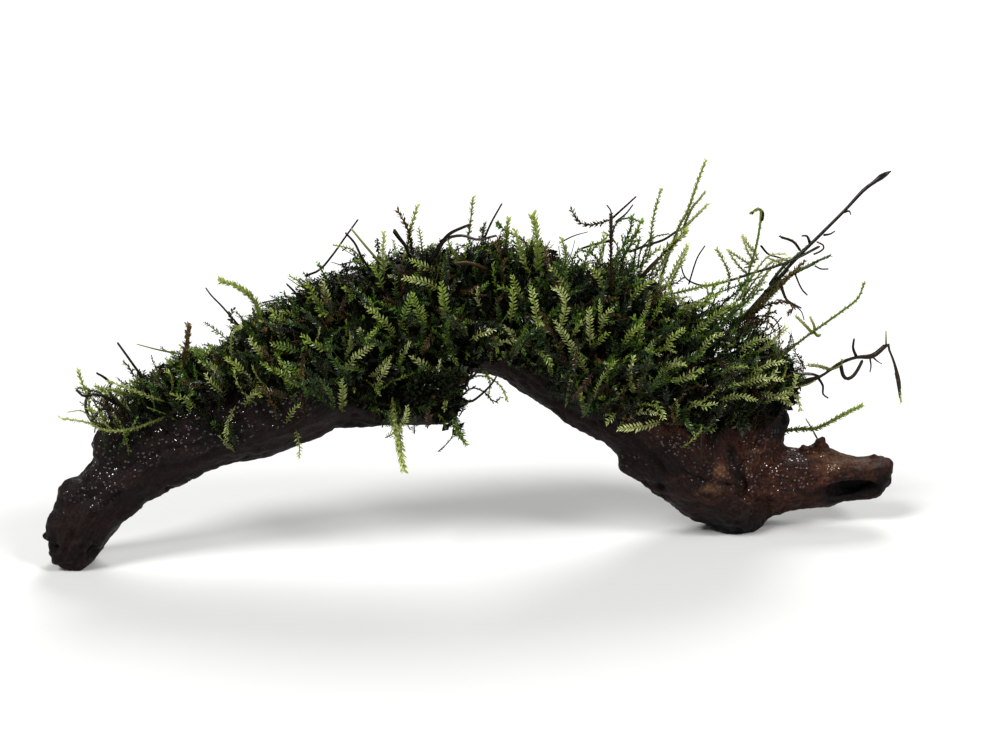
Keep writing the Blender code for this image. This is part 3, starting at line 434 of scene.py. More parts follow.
# The top of its thick part, in the same frame
MOSS_TOP = [
    (60, 398), (100, 388), (130, 380), (160, 370), (185, 350), (220, 350), (245, 322), (262, 306),
    (285, 302), (305, 286), (330, 278), (362, 270), (385, 258), (405, 250), (430, 252), (460, 248),
    (500, 242), (545, 242), (556, 258), (572, 268), (600, 266), (620, 260), (640, 264), (655, 278),
    (675, 296), (700, 306), (730, 308), (755, 314), (775, 338), (810, 372),
]
# Shoots start up to this far above or below that edge, and end up to this far above that top
EDGE_SCATTER = 8.0

# Share of the random shoots that lie deep inside a clump
INNER_SHARE = 0.42
# Widths at root and tip of a random shoot, and of one from the tables
RANDOM_WIDTHS = (0.36, 0.2)
CHOSEN_WIDTHS = (0.45, 0.3)
# From one leaf to the next on a side of a shoot from the tables, and of a rope-like one, whose
# leaves are also this much longer than the table says
FLAT_SPACING = 0.78
ROPE_SPACING = 0.40
ROPE_GROWTH = 1.1
# A shoot from the tables starts this far in front of what carries it, and each further point
# of its path stands out by this much more.
FIRST_LIFT = 0.6
LIFT_STEP = 1.2
# None of its points lies farther ahead of the camera than this.
FARTHEST = CAMERA_DISTANCE + LOOKED_AT.y

# Long stems, each a piece of its own: its solid, its slot, its leaf length, how closely leaves
# follow each other, its tone, and its path from root to tip with its width
LONG_STEMS = {
    "wiry_low_pale": ("stem_low_pale", "young_shoots", (1.15, 0.5, 0.91), [
        (-68.6, -24.0, 37.2, 0.5), (-75.6, -28.2, 35.6, 0.5), (-81.4, -28.4, 35.4, 0.5),
        (-85.4, -28.4, 37.2, 0.4), (-91.2, -27.8, 38.0, 0.2),
    ]),
    "wiry_brown_left": ("stem_brown_left", "brown_stems", (1.6, 0.34, 0.15), [
        (-65.6, -14.0, 42.0, 0.9), (-64.7, -14.0, 50.1, 0.9), (-64.0, -14.0, 55.6, 0.6),
    ]),
    "wiry_thick_yellow": ("stem_thick_yellow", "young_shoots", (1.9, 0.28, 0.87), [
        (-47.6, -12.0, 50.0, 0.8), (-48.1, -12.0, 57.1, 0.8), (-49.4, -12.0, 61.1, 0.7),
        (-52.5, -12.0, 64.1, 0.6), (-56.5, -12.0, 65.7, 0.4),
    ]),
    "wiry_brown_crown": ("stem_brown_crown", "brown_stems", (1.3, 0.32, 0.05), [
        (31.6, -9.6, 58.0, 0.5), (31.3, -11.0, 72.6, 0.5), (31.2, -12.0, 79.6, 0.8),
        (31.2, -12.0, 80.9, 0.6),
    ]),
    "wiry_tall_forked": ("stem_tall_forked", "young_shoots", (1.3, 0.38, 0.84), [
        (43.0, 1.0, 62.0, 0.5), (47.4, 1.5, 75.0, 0.6), (49.4, 2.0, 78.8, 0.5),
        (51.8, 2.5, 86.0, 0.4), (53.4, 3.0, 90.4, 0.3),
    ]),
    "wiry_hooked": ("stem_hooked", "young_shoots", (1.0, 0.36, 0.80), [
        (62.6, 6.0, 52.0, 0.5), (64.6, 6.3, 63.8, 0.5), (66.1, 6.7, 69.7, 0.5),
        (66.9, 7.0, 74.9, 0.5), (66.9, 7.4, 78.4, 0.7), (64.6, 8.0, 77.4, 0.4),
    ]),
    "wiry_long_dark": ("stem_long_dark", "black_stem", (0.3, 2.0, 0.01), [
        (60.0, 3.0, 50.0, 0.7), (69.4, 4.7, 60.5, 0.8), (75.6, 5.6, 67.3, 0.9),
        (81.3, 6.4, 73.0, 0.9), (86.8, 7.3, 78.5, 0.85), (90.6, 8.0, 82.6, 1.0),
        (93.2, 8.4, 84.6, 1.0), (95.0, 8.7, 85.9, 1.6), (96.4, 9.0, 86.7, 1.0),
        (97.2, 9.2, 87.1, 0.3),
    ]),
    "wiry_olive": ("stem_olive", "brown_stems", (1.15, 0.4, 0.58), [
        (58.0, -2.6, 50.0, 0.7), (68.5, -2.7, 61.0, 0.6), (74.7, -3.3, 66.1, 0.5),
        (81.8, -4.0, 69.8, 0.4),
    ]),
    "wiry_curved_green": ("stem_curved_green", "young_shoots", (1.1, 0.38, 0.80), [
        (66.0, 1.6, 39.0, 0.6), (75.8, 0.5, 48.1, 0.5), (84.0, -1.0, 54.9, 0.5),
        (88.7, -2.5, 59.3, 0.4), (89.9, -4.0, 63.4, 0.4),
    ]),
    "wiry_runner": ("stem_runner", "brown_stems", (0.5, 0.9, 0.05), [
        (66.0, 8.0, 35.0, 1.0), (74.9, 6.8, 36.2, 1.3), (78.9, 6.4, 37.2, 1.6),
        (82.6, 6.0, 38.8, 0.7), (86.4, 6.0, 41.6, 0.9), (90.4, 6.0, 43.2, 0.8),
        (94.4, 6.0, 43.6, 1.3), (97.6, 6.0, 46.3, 1.1), (98.2, 6.0, 45.0, 0.6),
        (99.6, 6.0, 41.6, 0.7), (100.8, 6.0, 37.0, 1.2), (101.2, 6.0, 33.4, 0.4),
    ]),
    "wiry_low_green": ("stem_low_green", "young_shoots", (1.6, 0.3, 0.84), [
        (74.0, 14.0, 22.4, 0.6), (78.0, 14.5, 23.0, 0.7), (82.0, 14.8, 23.0, 0.7),
        (84.8, 15.0, 23.9, 0.7), (89.2, 15.5, 26.2, 0.7), (93.8, 16.0, 28.5, 0.5),
    ]),
    "wiry_hanging": ("stem_hanging", "young_shoots", (1.7, 0.36, 0.90), [
        (-18.0, -18.0, 40.0, 0.6), (-17.6, -20.7, 35.1, 0.7), (-16.8, -21.3, 29.8, 0.7),
        (-15.4, -22.0, 24.2, 0.4),
    ]),
}

# Side shoots of each long stem: path in the photograph's frame, widths at root and tip, leaf
# length or 0 for a bare one, tone
SIDE_SHOOTS = {
    "wiry_tall_forked": [
        ([(684, 226), (692, 208), (698, 201), (705, 192)], (0.6, 0.5), 1.0, 0.86),
        ([(681, 230), (688, 224), (698, 214), (708, 204)], (0.8, 0.4), 1.2, 0.98),
    ],
    "wiry_hooked": [
        ([(761, 246), (768, 254), (777, 257), (784, 259)], (0.6, 0.4), 0.0, 0.03),
        ([(755, 262), (748, 252), (743, 238)], (0.5, 0.3), 1.2, 0.97),
        ([(762, 220), (763, 213), (759, 209), (755, 210), (752, 214)], (0.9, 0.5), 0.0, 0.04),
    ],
    "wiry_long_dark": [
        ([(745, 318), (760, 300), (774, 285), (788, 270)], (0.5, 0.4), 1.3, 0.46),
        ([(752, 316), (768, 298), (784, 282), (800, 266)], (0.5, 0.4), 1.2, 0.62),
        ([(740, 322), (752, 310), (766, 296), (780, 280)], (0.5, 0.4), 1.3, 0.30),
        ([(844, 212), (849, 211), (851, 215)], (0.7, 0.2), 0.0, 0.01),
        ([(824, 235), (830, 234), (835, 231)], (0.6, 0.3), 0.0, 0.30),
        ([(800, 250), (795, 243), (790, 240), (784, 238), (781, 237)], (0.7, 0.6), 0.9, 0.03),
        ([(810, 243), (807, 236), (802, 236)], (0.8, 0.4), 0.0, 0.02),
        ([(790, 262), (786, 260), (772, 262), (765, 268)], (0.5, 0.3), 0.9, 0.97),
        ([(785, 268), (778, 262), (768, 258)], (0.5, 0.3), 0.9, 0.95),
        ([(770, 284), (782, 268), (796, 256), (810, 244)], (0.9, 0.5), 1.0, 0.56),
    ],
    "wiry_olive": [
        ([(780, 283), (786, 299), (795, 305), (801, 308)], (0.9, 0.4), 0.0, 0.07),
        ([(795, 274), (801, 288), (807, 295)], (0.45, 0.4), 0.0, 0.01),
        ([(817, 242), (823, 245), (824, 248), (819, 252), (814, 254)], (0.4, 0.5), 0.0, 0.06),
        ([(814, 263), (822, 259), (831, 255)], (0.6, 0.3), 0.0, 0.02),
        ([(815, 266), (821, 269), (828, 269)], (0.4, 0.4), 0.0, 0.40),
        ([(765, 292), (782, 281), (799, 271), (814, 264)], (0.9, 0.6), 0.8, 0.50),
    ],
    "wiry_curved_green": [
        ([(812, 333), (806, 326), (797, 317)], (0.8, 0.6), 1.1, 0.98),
        ([(815, 329), (813, 323), (810, 317)], (0.7, 0.5), 0.9, 0.98),
        ([(814, 332), (818, 336), (820, 335)], (0.7, 0.8), 0.7, 0.84),
        ([(782, 358), (786, 368), (783, 378)], (0.7, 0.5), 0.8, 0.80),
    ],
    "wiry_runner": [
        ([(829, 369), (819, 366), (809, 365)], (0.8, 0.8), 1.3, 0.98),
        ([(828, 370), (834, 368), (841, 365), (842, 360)], (0.9, 0.6), 1.1, 0.92),
        (
            [(841, 366), (843, 375), (847, 379), (853, 376), (858, 369), (862, 361)],
            (1.0, 0.8), 0.0, 0.04,
        ),
        ([(856, 356), (853, 348), (854, 339)], (0.8, 0.5), 0.0, 0.02),
        ([(870, 358), (871, 366), (870, 372)], (0.5, 0.3), 0.0, 0.01),
        ([(873, 357), (877, 361), (882, 364)], (0.5, 0.2), 0.0, 0.02),
        ([(886, 344), (886, 331)], (0.5, 0.3), 0.0, 0.97),
        ([(819, 379), (823, 386), (823, 394), (828, 398)], (0.7, 0.4), 0.0, 0.02),
        ([(780, 391), (795, 386), (806, 384), (814, 380)], (1.4, 0.8), 1.2, 0.95),
        ([(794, 383), (799, 375), (811, 374), (820, 377)], (0.8, 0.7), 0.0, 0.20),
        ([(896, 373), (898, 382), (900, 391), (901, 402)], (0.8, 0.4), 0.9, 0.92),
    ],
    "wiry_low_green": [
        ([(817, 438), (811, 427), (806, 419)], (0.5, 0.3), 0.6, 0.97),
    ],
    "wiry_low_pale": [
        ([(93, 420), (82, 411), (68, 412)], (0.4, 0.2), 0.5, 0.97),
        ([(112, 430), (100, 420), (90, 418)], (0.5, 0.3), 0.9, 0.94),
    ],
}

MOSS_PIECES = {
    "leafy_left": "moss_left_clump",
    "leafy_crown": "moss_crown_clump",
    "leafy_right": "moss_right_clump",
}
# How much of the numbers of shoots and matted leaves each clump gets
CLUMP_SHARES = {"leafy_left": 0.6, "leafy_crown": 1.15, "leafy_right": 1.15}

# Lamps, each as far off as a sun: name, where its light comes from, angle across in degrees,
# share of the key lamp's strength
LAMPS = [
    ("left_lamp", (-0.42, -0.42, 0.62), 22.0, 1.0),
    ("right_lamp", (0.50, -0.38, 0.52), 18.0, 0.6),
    ("rear_lamp", (0.10, 0.60, 0.60), 30.0, 0.7),
]


def linear(code):
    """A colour given as sRGB hex, as linear red, green, blue and alpha."""
    colour = []
    for index in (1, 3, 5):
        part = int(code[index : index + 2], 16) / 255
        colour.append(part / 12.92 if part <= 0.04045 else ((part + 0.055) / 1.055) ** 2.4)
    return (*colour, 1.0)


class WoodSettings(bpy.types.PropertyGroup):
    """Sizes of the wet driftwood's mesh and relief."""

    fineness: bpy.props.FloatProperty(
        name="Fineness", description="Size of the mesh's squares", default=0.0005, unit="LENGTH"
    )
    fibre_depth: bpy.props.FloatProperty(
        name="Fibre depth", description="Height of the long fibres", default=0.00026, unit="LENGTH"
    )
    lump_depth: bpy.props.FloatProperty(
        name="Lump depth", description="Height of the worn lumps", default=0.0007, unit="LENGTH"
    )
    pit_depth: bpy.props.FloatProperty(
        name="Pit depth", description="Depth of the small pits", default=0.0006, unit="LENGTH"
    )


class MossSettings(bpy.types.PropertyGroup):
    """Sizes and numbers of the moss's shoots."""

    seed: bpy.props.IntProperty(name="Seed", description="Draws another moss", default=7)
    shoots: bpy.props.IntProperty(
        name="Shoots", description="Shoots tried in each clump", default=2000
    )
    matted: bpy.props.IntProperty(
        name="Matted leaves", description="Broad dark leaves deep in each clump", default=4800
    )
    leaf_length: bpy.props.FloatProperty(
        name="Leaf length",
        description="Length of an ordinary leaf",
        default=0.00115,
        unit="LENGTH",
    )
    leaf_pitch: bpy.props.FloatProperty(
        name="Leaf pitch",
        description="From one leaf to the next on a side",
        default=0.0006,
        unit="LENGTH",
    )


class StudioSettings(bpy.types.PropertyGroup):
    """Size, colour and light of the plain studio."""

    floor_width: bpy.props.FloatProperty(
        name="Floor width", description="Width of the pale floor", default=12.0, unit="LENGTH"
    )
    floor_colour: bpy.props.FloatVectorProperty(
        name="Floor colour",
        description="Colour of the floor's paint",
        default=linear("#cdcdcb")[:3],
        subtype="COLOR",
    )
    key_strength: bpy.props.FloatProperty(
        name="Key strength",
        description="Light from the lamp on the left, per square metre",
        default=3.2,
    )
    room_strength: bpy.props.FloatProperty(
        name="Room strength", description="Even light from the white room", default=0.2
    )


def add_node(tree, kind, inputs=None, stops=None, output=None, **settings):
    """Adds a node with its settings, fills its inputs, and returns the output that is used."""
    node = tree.nodes.new(kind)
    for name, value in settings.items():
        setattr(node, name, value)
    for name, value in (inputs or {}).items():
        if isinstance(name, int):
            socket = node.inputs[name]
        else:
            # Some nodes have several inputs of one name, and only one of them is in use.
            socket = next(each for each in node.inputs if each.enabled and each.name == name)
        if isinstance(value, bpy.types.NodeSocket):
            tree.links.new(value, socket)
        else:
            socket.default_value = value
    if stops:
        elements = node.color_ramp.elements
        while len(elements) < len(stops):
            elements.new(1.0)
        for element, (position, colour) in zip(elements, stops):
            element.position = position
            element.color = linear(colour)
    if output:
        return node.outputs[output]
    return next((socket for socket in node.outputs if socket.enabled), None)


def new_material(name):
    material = bpy.data.materials.new(name)
    material.use_nodes = True
    tree = material.node_tree
    tree.nodes.clear()
    return material, tree


def deselect():
    for obj in bpy.context.selected_objects:
        obj.select_set(False)


def activate(obj):
    deselect()
    obj.select_set(True)
    bpy.context.view_layer.objects.active = obj


def link_new(name, mesh):
    obj = bpy.data.objects.new(name, mesh)
    bpy.context.scene.collection.objects.link(obj)
    return obj


def apply_modifier(obj, kind, **settings):
    activate(obj)
    modifier = obj.modifiers.new(kind.title(), kind)
    for name, value in settings.items():
        setattr(modifier, name, value)
    bpy.ops.object.modifier_apply(modifier=modifier.name)


def points_of(obj):
    points = np.empty(len(obj.data.vertices) * 3)
    obj.data.vertices.foreach_get("co", points)
    return points.reshape(-1, 3)


def normals_of(obj):
    normals = np.empty(len(obj.data.vertices) * 3, np.float32)
    obj.data.vertex_normals.foreach_get("vector", normals)
    return normals.reshape(-1, 3).astype(float)


def tree_of(names):
    """One search tree over the named solids, and the name of the solid that each face is from."""
    points = []
    faces = []
    owners = []
    for name in names:
        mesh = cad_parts[name].data
        start = len(points)
        points += [vertex.co.copy() for vertex in mesh.vertices]
        faces += [[start + index for index in face.vertices] for face in mesh.polygons]
        owners += [name] * len(mesh.polygons)
    return BVHTree.FromPolygons(points, faces), owners


def curve_through(points, step):
    """Points of a Catmull-Rom curve through rows of numbers, about one step apart."""
    first = 2 * np.array(points[0]) - points[1]
    last = 2 * np.array(points[-1]) - points[-2]
    rows = np.array([first, *points, last], float)
    made = []
    for before, start, end, after in zip(rows, rows[1:], rows[2:], rows[3:]):
        count = max(1, round(np.linalg.norm(end[:3] - start[:3]) / step))
        for t in np.arange(count) / count:
            made.append(
                0.5
                * (
                    2 * start
                    + (end - before) * t
                    + (2 * before - 5 * start + 4 * end - after) * t**2
                    + (3 * start - before - 3 * end + after) * t**3
                )
            )
    made.append(rows[-2])
    return np.array(made)


def unit_rows(rows):
    return rows / np.linalg.norm(rows, axis=1)[:, None]


def distances_along(path):
    """How far along a path each of its points lies."""
    return np.concatenate([[0], np.cumsum(np.linalg.norm(np.diff(path, axis=0), axis=1))])


def grain_lines():
    """Samples along every strand: centre, tangent, side, normal, radius and distance along."""
    rows = []
    for index, strand in enumerate(STRANDS):
        path = curve_through(strand, GRAIN_STEP)
        centres = path[:, :3] - BASE_MIDDLE
        tangents = unit_rows(np.gradient(centres, axis=0))
        side = unit_rows(np.array([0.0, 1.0, 0.0]) - tangents * tangents[:, 1:2])
        normal = np.cross(tangents, side)
        along = distances_along(centres) + STRAND_OFFSET * index
        rows.append(np.column_stack([centres, tangents, side, normal, path[:, 3], along]))
    return np.concatenate(rows)


def grain_places(points):
    """Each point's place in its strand's own frame, in millimetres: along, sideways, outward."""
    lines = grain_lines()
    places = np.empty_like(points)
    for start in range(0, len(points), CHUNK):
        chunk = points[start : start + CHUNK] / MM
        away = np.linalg.norm(chunk[:, None] - lines[None, :, :3], axis=2) - lines[:, 12]
        best = lines[away.argmin(axis=1)]
        offset = chunk - best[:, :3]
        for axis in range(3):
            direction = best[:, 3 + 3 * axis : 6 + 3 * axis]
            places[start : start + CHUNK, axis] = (offset * direction).sum(axis=1)
        places[start : start + CHUNK, 0] += best[:, 13]
    return places


def noise_at(places, sizes, seed):
    """Smooth noise at each place, with its own size in each direction."""
    scaled = places / np.array(sizes) + seed
    return np.array([noise.noise(Vector(row)) for row in scaled])


def stain_and_shade_strengths(points):
    """How strongly each stain, and the painted shade, shows at each point, with a ragged edge."""
    strengths = {}
    ragged = noise_at(points / MM, *STAIN_AND_SHADE_EDGES)
    for tone, stains_and_shade in WOOD_STAINS_AND_SHADE.items():
        strengths[tone] = np.zeros(len(points))
        for centre, radii in stains_and_shade:
            place = (points / MM - in_frame(centre)) / np.array(radii)
            strength = np.clip(1.35 - np.linalg.norm(place, axis=1) + 0.55 * ragged, 0, 1)
            strengths[tone] = np.maximum(strengths[tone], strength)
    return strengths


def worn_depths(points):
    """How deep the grooves and dents are cut at each point, in metres."""
    depths = np.zeros(len(points))
    for path, half_width, depth in WOOD_GROOVES:
        nearest = np.full(len(points), math.inf)
        for place in curve_through(in_frame(path), GROOVE_STEP):
            nearest = np.minimum(nearest, ((points / MM - place) ** 2).sum(axis=1))
        depths = np.maximum(depths, depth * np.exp(-nearest / half_width**2))
    for centre, radii, depth in WOOD_DENTS:
        away = (((points / MM - in_frame(centre)) / np.array(radii)) ** 2).sum(axis=1)
        depths += depth * np.clip(1.3 - away, 0, 1)
    return depths * MM


def set_attribute(obj, name, kind, values):
    attribute = obj.data.attributes.new(name, kind, "POINT")
    attribute.data.foreach_set("vector" if kind == "FLOAT_VECTOR" else "value", values.ravel())


def roughened_wood(settings):
    """All the wood as one fine mesh, with fibres, lumps and pits along its grain."""
    solids = [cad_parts[name].data for name in WOOD_PIECES.values()]
    copies = [link_new("wood_copy", solid.copy()) for solid in solids]
    wood = copies[0]
    activate(wood)
    for copy in copies:
        copy.select_set(True)
    bpy.ops.object.join()
    bpy.ops.object.mode_set(mode="EDIT")
    bpy.ops.mesh.select_all(action="SELECT")
    bpy.ops.mesh.remove_doubles(threshold=1e-6)
    bpy.ops.object.mode_set(mode="OBJECT")
    apply_modifier(wood, "DISPLACE", strength=SWELLING * MM, mid_level=0.0, direction="NORMAL")
    apply_modifier(wood, "REMESH", mode="VOXEL", voxel_size=settings.fineness)
    apply_modifier(wood, "SMOOTH", factor=0.5, iterations=7)
    points = points_of(wood)
    normals = normals_of(wood)
    places = grain_places(points)
    fibres = 1 - 2 * np.abs(noise_at(places, *FIBRES))
    threads = noise_at(places, *THREADS)
    lumps = sum(share * noise_at(points / MM, size, size) for size, share in LUMP_SIZES)
    patches = noise_at(points / MM, *PATCHES)
    pits = np.clip(noise_at(places, *PITS) - 0.12, 0, 1) * np.clip(0.35 + patches, 0, 1)
    height = settings.fibre_depth * (fibres - 0.4 + 0.35 * threads) * (0.75 + 0.6 * patches)
    height += settings.lump_depth * lumps - settings.pit_depth * 3.0 * pits
    worn_flat = np.clip(points[:, 2] / (WORN_FEET * MM), 0, 1)
    moved = points + normals * (height * worn_flat - worn_depths(points))[:, None]
    moved[:, 2] = np.maximum(moved[:, 2], 0.0)
    wood.data.vertices.foreach_set("co", moved.ravel())
    wood.data.update()
    set_attribute(wood, "grain", "FLOAT_VECTOR", places)
    stains_and_shade = stain_and_shade_strengths(points)
    # Water gathers on what faces up, and drips off below.
    stains_and_shade["wet"] *= np.clip(0.5 + 1.6 * normals[:, 2], 0, 1)
    for tone, strength in stains_and_shade.items():
        set_attribute(wood, f"{tone}_mask", "FLOAT", strength)
    return wood


def nearest_solids(wood):
    """For each face of the wood, the solid that it belongs to, with stray patches given back."""
    tree, owners = tree_of(WOOD_PIECES.values())
    builder = bmesh.new()
    builder.from_mesh(wood.data)
    builder.faces.ensure_lookup_table()
    names = [owners[tree.find_nearest(face.calc_center_median())[2]] for face in builder.faces]
    unseen = set(range(len(names)))
    while unseen:
        first = unseen.pop()
        patch = [first]
        neighbours = []
        for index in patch:
            for edge in builder.faces[index].edges:
                for face in edge.link_faces:
                    if names[face.index] != names[first]:
                        neighbours.append(names[face.index])
                    elif face.index in unseen:
                        unseen.discard(face.index)
                        patch.append(face.index)
        if len(patch) < STRAY_FACES and neighbours:
            other = max(sorted(set(neighbours)), key=neighbours.count)
            for index in patch:
                names[index] = other
    builder.free()
    return names


def parted_wood(wood):
    """Parts the wood where its solids are parted, and closes each part where it was joined."""
    names = nearest_solids(wood)
    pieces = []
    for piece_name, node in WOOD_PIECES.items():
        piece = link_new(piece_name, wood.data.copy())
        activate(piece)
        bpy.ops.object.mode_set(mode="EDIT")
        builder = bmesh.from_edit_mesh(piece.data)
        others = [face for face, name in zip(builder.faces, names) if name != node]
        bmesh.ops.delete(builder, geom=others, context="FACES")
        for edge in builder.edges:
            edge.select_set(edge.is_boundary)
            edge.smooth = not edge.is_boundary
        bmesh.update_edit_mesh(piece.data)
        bpy.ops.mesh.fill_holes(sides=0)
        bpy.ops.object.mode_set(mode="OBJECT")
        bpy.ops.object.shade_smooth()
        pieces.append((piece, node))
    bpy.data.objects.remove(wood)
    return pieces


def driftwood_material():
    """Waterlogged driftwood: a film of water over dark fibres gives sharp small glints."""
    material, tree = new_material("wet_driftwood_bark")
    place = add_node(tree, "ShaderNodeTexCoord", output="Object")
    grain = add_node(tree, "ShaderNodeAttribute", attribute_name="grain", output="Vector")
    stains_and_shade = {
        tone: add_node(tree, "ShaderNodeAttribute", attribute_name=f"{tone}_mask", output="Fac")
        for tone in WOOD_STAINS_AND_SHADE
    }
    # Fibres about 0.6 mm wide and 5 mm long
    stretched = add_node(
        tree,
        "ShaderNodeVectorMath",
        {0: grain, 1: (1 / 5.0, 1 / 0.6, 1 / 0.6)},
        operation="MULTIPLY",
    )
    thread = add_node(
        tree,
        "ShaderNodeTexNoise",
        {"Vector": stretched, "Scale": 1.0, "Detail": 5.0, "Roughness": 0.62, "Distortion": 0.6},
        output="Fac",
    )
    # Rotten grains about 0.7 mm across
    crumb = add_node(
        tree,
        "ShaderNodeTexNoise",
        {"Vector": place, "Scale": 1400.0, "Detail": 3.0, "Roughness": 0.6},
        output="Fac",
    )
    fibre = add_node(
        tree,
        "ShaderNodeMix",
        {"Factor": 0.55, "A": thread, "B": crumb},
        data_type="FLOAT",
    )
    # Blotches about 8 mm across
    blotch = add_node(
        tree,
        "ShaderNodeTexNoise",
        {"Vector": place, "Scale": 125.0, "Detail": 4.0, "Roughness": 0.6},
        output="Fac",
    )
    streak = add_node(
        tree,
        "ShaderNodeMix",
        {"Factor": 0.35, "A": fibre, "B": blotch},
        data_type="FLOAT",
    )
    colour = add_node(
        tree,
        "ShaderNodeValToRGB",
        {"Fac": streak},
        stops=[(0.38, "#060303"), (0.48, "#100908"), (0.56, "#1a100e"), (0.66, "#2a1b17")],
    )
    layers = {
        "red": [(0.38, "#0f0605"), (0.46, "#22100b"), (0.54, "#3a1f15"), (0.64, "#543322")],
        "tan": [(0.38, "#24160c"), (0.50, "#4a3222"), (0.62, "#74563c")],
        # Near-black painted shade for the hollows, grooves, cracks and underside
        "painted_shade": [(0.36, "#020101"), (0.52, "#060404"), (0.68, "#0e0908")],
    }
    for tone, stops in layers.items():
        layer = add_node(tree, "ShaderNodeValToRGB", {"Fac": streak}, stops=stops)
        colour = add_node(
            tree,
            "ShaderNodeMix",
            {"Factor": stains_and_shade[tone], "A": colour, "B": layer},
            data_type="RGBA",
        )
    gloss = add_node(
        tree,
        "ShaderNodeMapRange",
        {"Value": blotch, "From Min": 0.3, "From Max": 0.7, "To Min": 0.42, "To Max": 0.7},
    )
    # Water stands in beads about 0.6 mm across, each of which throws one glint of each lamp
    cell = add_node(
        tree,
        "ShaderNodeTexVoronoi",
        {"Vector": place, "Scale": 1050.0, "Randomness": 1.0},
        output="Distance",
    )
    hollow = add_node(tree, "ShaderNodeMath", {0: cell, 1: cell}, operation="MULTIPLY")
    bead = add_node(
        tree,
        "ShaderNodeMapRange",
        {"Value": cell, "From Min": 0.27, "From Max": 0.33, "To Min": 1.0, "To Max": 0.0},
    )
    wet_patch = add_node(
        tree,
        "ShaderNodeMapRange",
        {"Value": blotch, "From Min": 0.32, "From Max": 0.38, "To Min": 0.0, "To Max": 1.0},
    )
    wet = add_node(tree, "ShaderNodeMath", {0: stains_and_shade["wet"], 1: wet_patch}, operation="MULTIPLY")
    wet = add_node(tree, "ShaderNodeMath", {0: wet, 1: bead}, operation="MULTIPLY")
    fibre_bump = add_node(
        tree, "ShaderNodeBump", {"Height": fibre, "Distance": 0.0006, "Strength": 0.9}
    )
    wet_bump = add_node(
        tree,
        "ShaderNodeBump",
        {"Height": hollow, "Distance": 0.0004, "Strength": 1.0},
        invert=True,
    )
    surface = add_node(
        tree,
        "ShaderNodeBsdfPrincipled",
        {
            "Base Color": colour,
            "Roughness": gloss,
            "IOR": 1.4,
            "Specular IOR Level": 0.12,
            "Normal": fibre_bump,
            "Coat Weight": wet,
            "Coat Roughness": 0.06,
            "Coat IOR": 1.9,
            "Coat Normal": wet_bump,
        },
    )
    add_node(tree, "ShaderNodeOutputMaterial", {"Surface": surface})
    return material


# What the colours across the leaf map stand for, from old brown shoots to young yellow ones
OLD_LEAF_COLOURS = [
    (0.00, "#070605"),
    (0.04, "#160e08"),
    (0.16, "#281b0a"),
    (0.20, "#0b0c05"),
    (0.34, "#0a0e05"),
    (0.50, "#101705"),
    (0.68, "#1b2608"),
    (0.84, "#333d0f"),
    (1.00, "#646b2a"),
]
YOUNG_LEAF_COLOURS = [
    (0.00, "#12100d"),
    (0.04, "#3c2a18"),
    (0.16, "#785c2e"),
    (0.20, "#232712"),
    (0.34, "#26331a"),
    (0.50, "#42601f"),
    (0.68, "#688e2c"),
    (0.84, "#a5b948"),
    (1.00, "#dfe4a0"),
]


def moss_material(name):
    """Thin wet moss leaves: light passes through them, and a film of water shines on them."""
    material, tree = new_material(name)
    leaf_map = add_node(tree, "ShaderNodeUVMap", uv_map=LEAF_MAP)
    along = add_node(tree, "ShaderNodeSeparateXYZ", {"Vector": leaf_map}, output="X")
    across = add_node(tree, "ShaderNodeSeparateXYZ", {"Vector": leaf_map}, output="Y")
    old = add_node(tree, "ShaderNodeValToRGB", {"Fac": across}, stops=OLD_LEAF_COLOURS)
    young = add_node(tree, "ShaderNodeValToRGB", {"Fac": across}, stops=YOUNG_LEAF_COLOURS)
    colour = add_node(
        tree, "ShaderNodeMix", {"Factor": along, "A": old, "B": young}, data_type="RGBA"
    )
    leaf = add_node(
        tree,
        "ShaderNodeBsdfPrincipled",
        {
            "Base Color": colour,
            "Roughness": 0.5,
            "IOR": 1.4,
            "Specular IOR Level": 0.15,
            "Coat Weight": along,
            "Coat Roughness": 0.16,
            "Coat IOR": 1.5,
        },
    )
    glow = add_node(tree, "ShaderNodeBsdfTranslucent", {"Color": colour})
    # About a third of the light on a leaf comes through from behind it.
    surface = add_node(tree, "ShaderNodeMixShader", {0: 0.35, 1: leaf, 2: glow})
    add_node(tree, "ShaderNodeOutputMaterial", {"Surface": surface})
    return material


class Growth:
    """Collects the triangles of many shoots, with each point's place on the leaf map."""

    def __init__(self):
        self.points = []
        self.faces = []
        self.places = []
        self.count = 0

    def add(self, points, faces, places):
        self.faces.append(faces + self.count)
        self.points.append(points)
        self.places.append(places)
        self.count += len(points)

    def piece(self, name, material):
        points = np.concatenate(self.points) * MM
        faces = np.concatenate(self.faces)
        places = np.concatenate(self.places)
        mesh = bpy.data.meshes.new(name)
        mesh.vertices.add(len(points))
        mesh.vertices.foreach_set("co", points.ravel())
        mesh.loops.add(faces.size)
        mesh.loops.foreach_set("vertex_index", faces.ravel())
        mesh.polygons.add(len(faces))
        mesh.polygons.foreach_set("loop_start", np.arange(0, faces.size, 3))
        mesh.polygons.foreach_set("use_smooth", np.ones(len(faces), bool))
        mesh.update(calc_edges=True)
        layer = mesh.uv_layers.new(name=LEAF_MAP)
        layer.uv.foreach_set("vector", np.clip(places[faces.ravel()], 0.002, 0.998).ravel())
        mesh.materials.append(material)
        mesh.validate()
        return link_new(name, mesh)


def evenly(path, spacing):
    """The same path with its points evenly spaced."""
    lengths = distances_along(path[:, :3])
    count = max(3, int(round(lengths[-1] / spacing)))
    wanted = np.linspace(0, lengths[-1], count + 1)
    return np.column_stack([np.interp(wanted, lengths, column) for column in path.T])


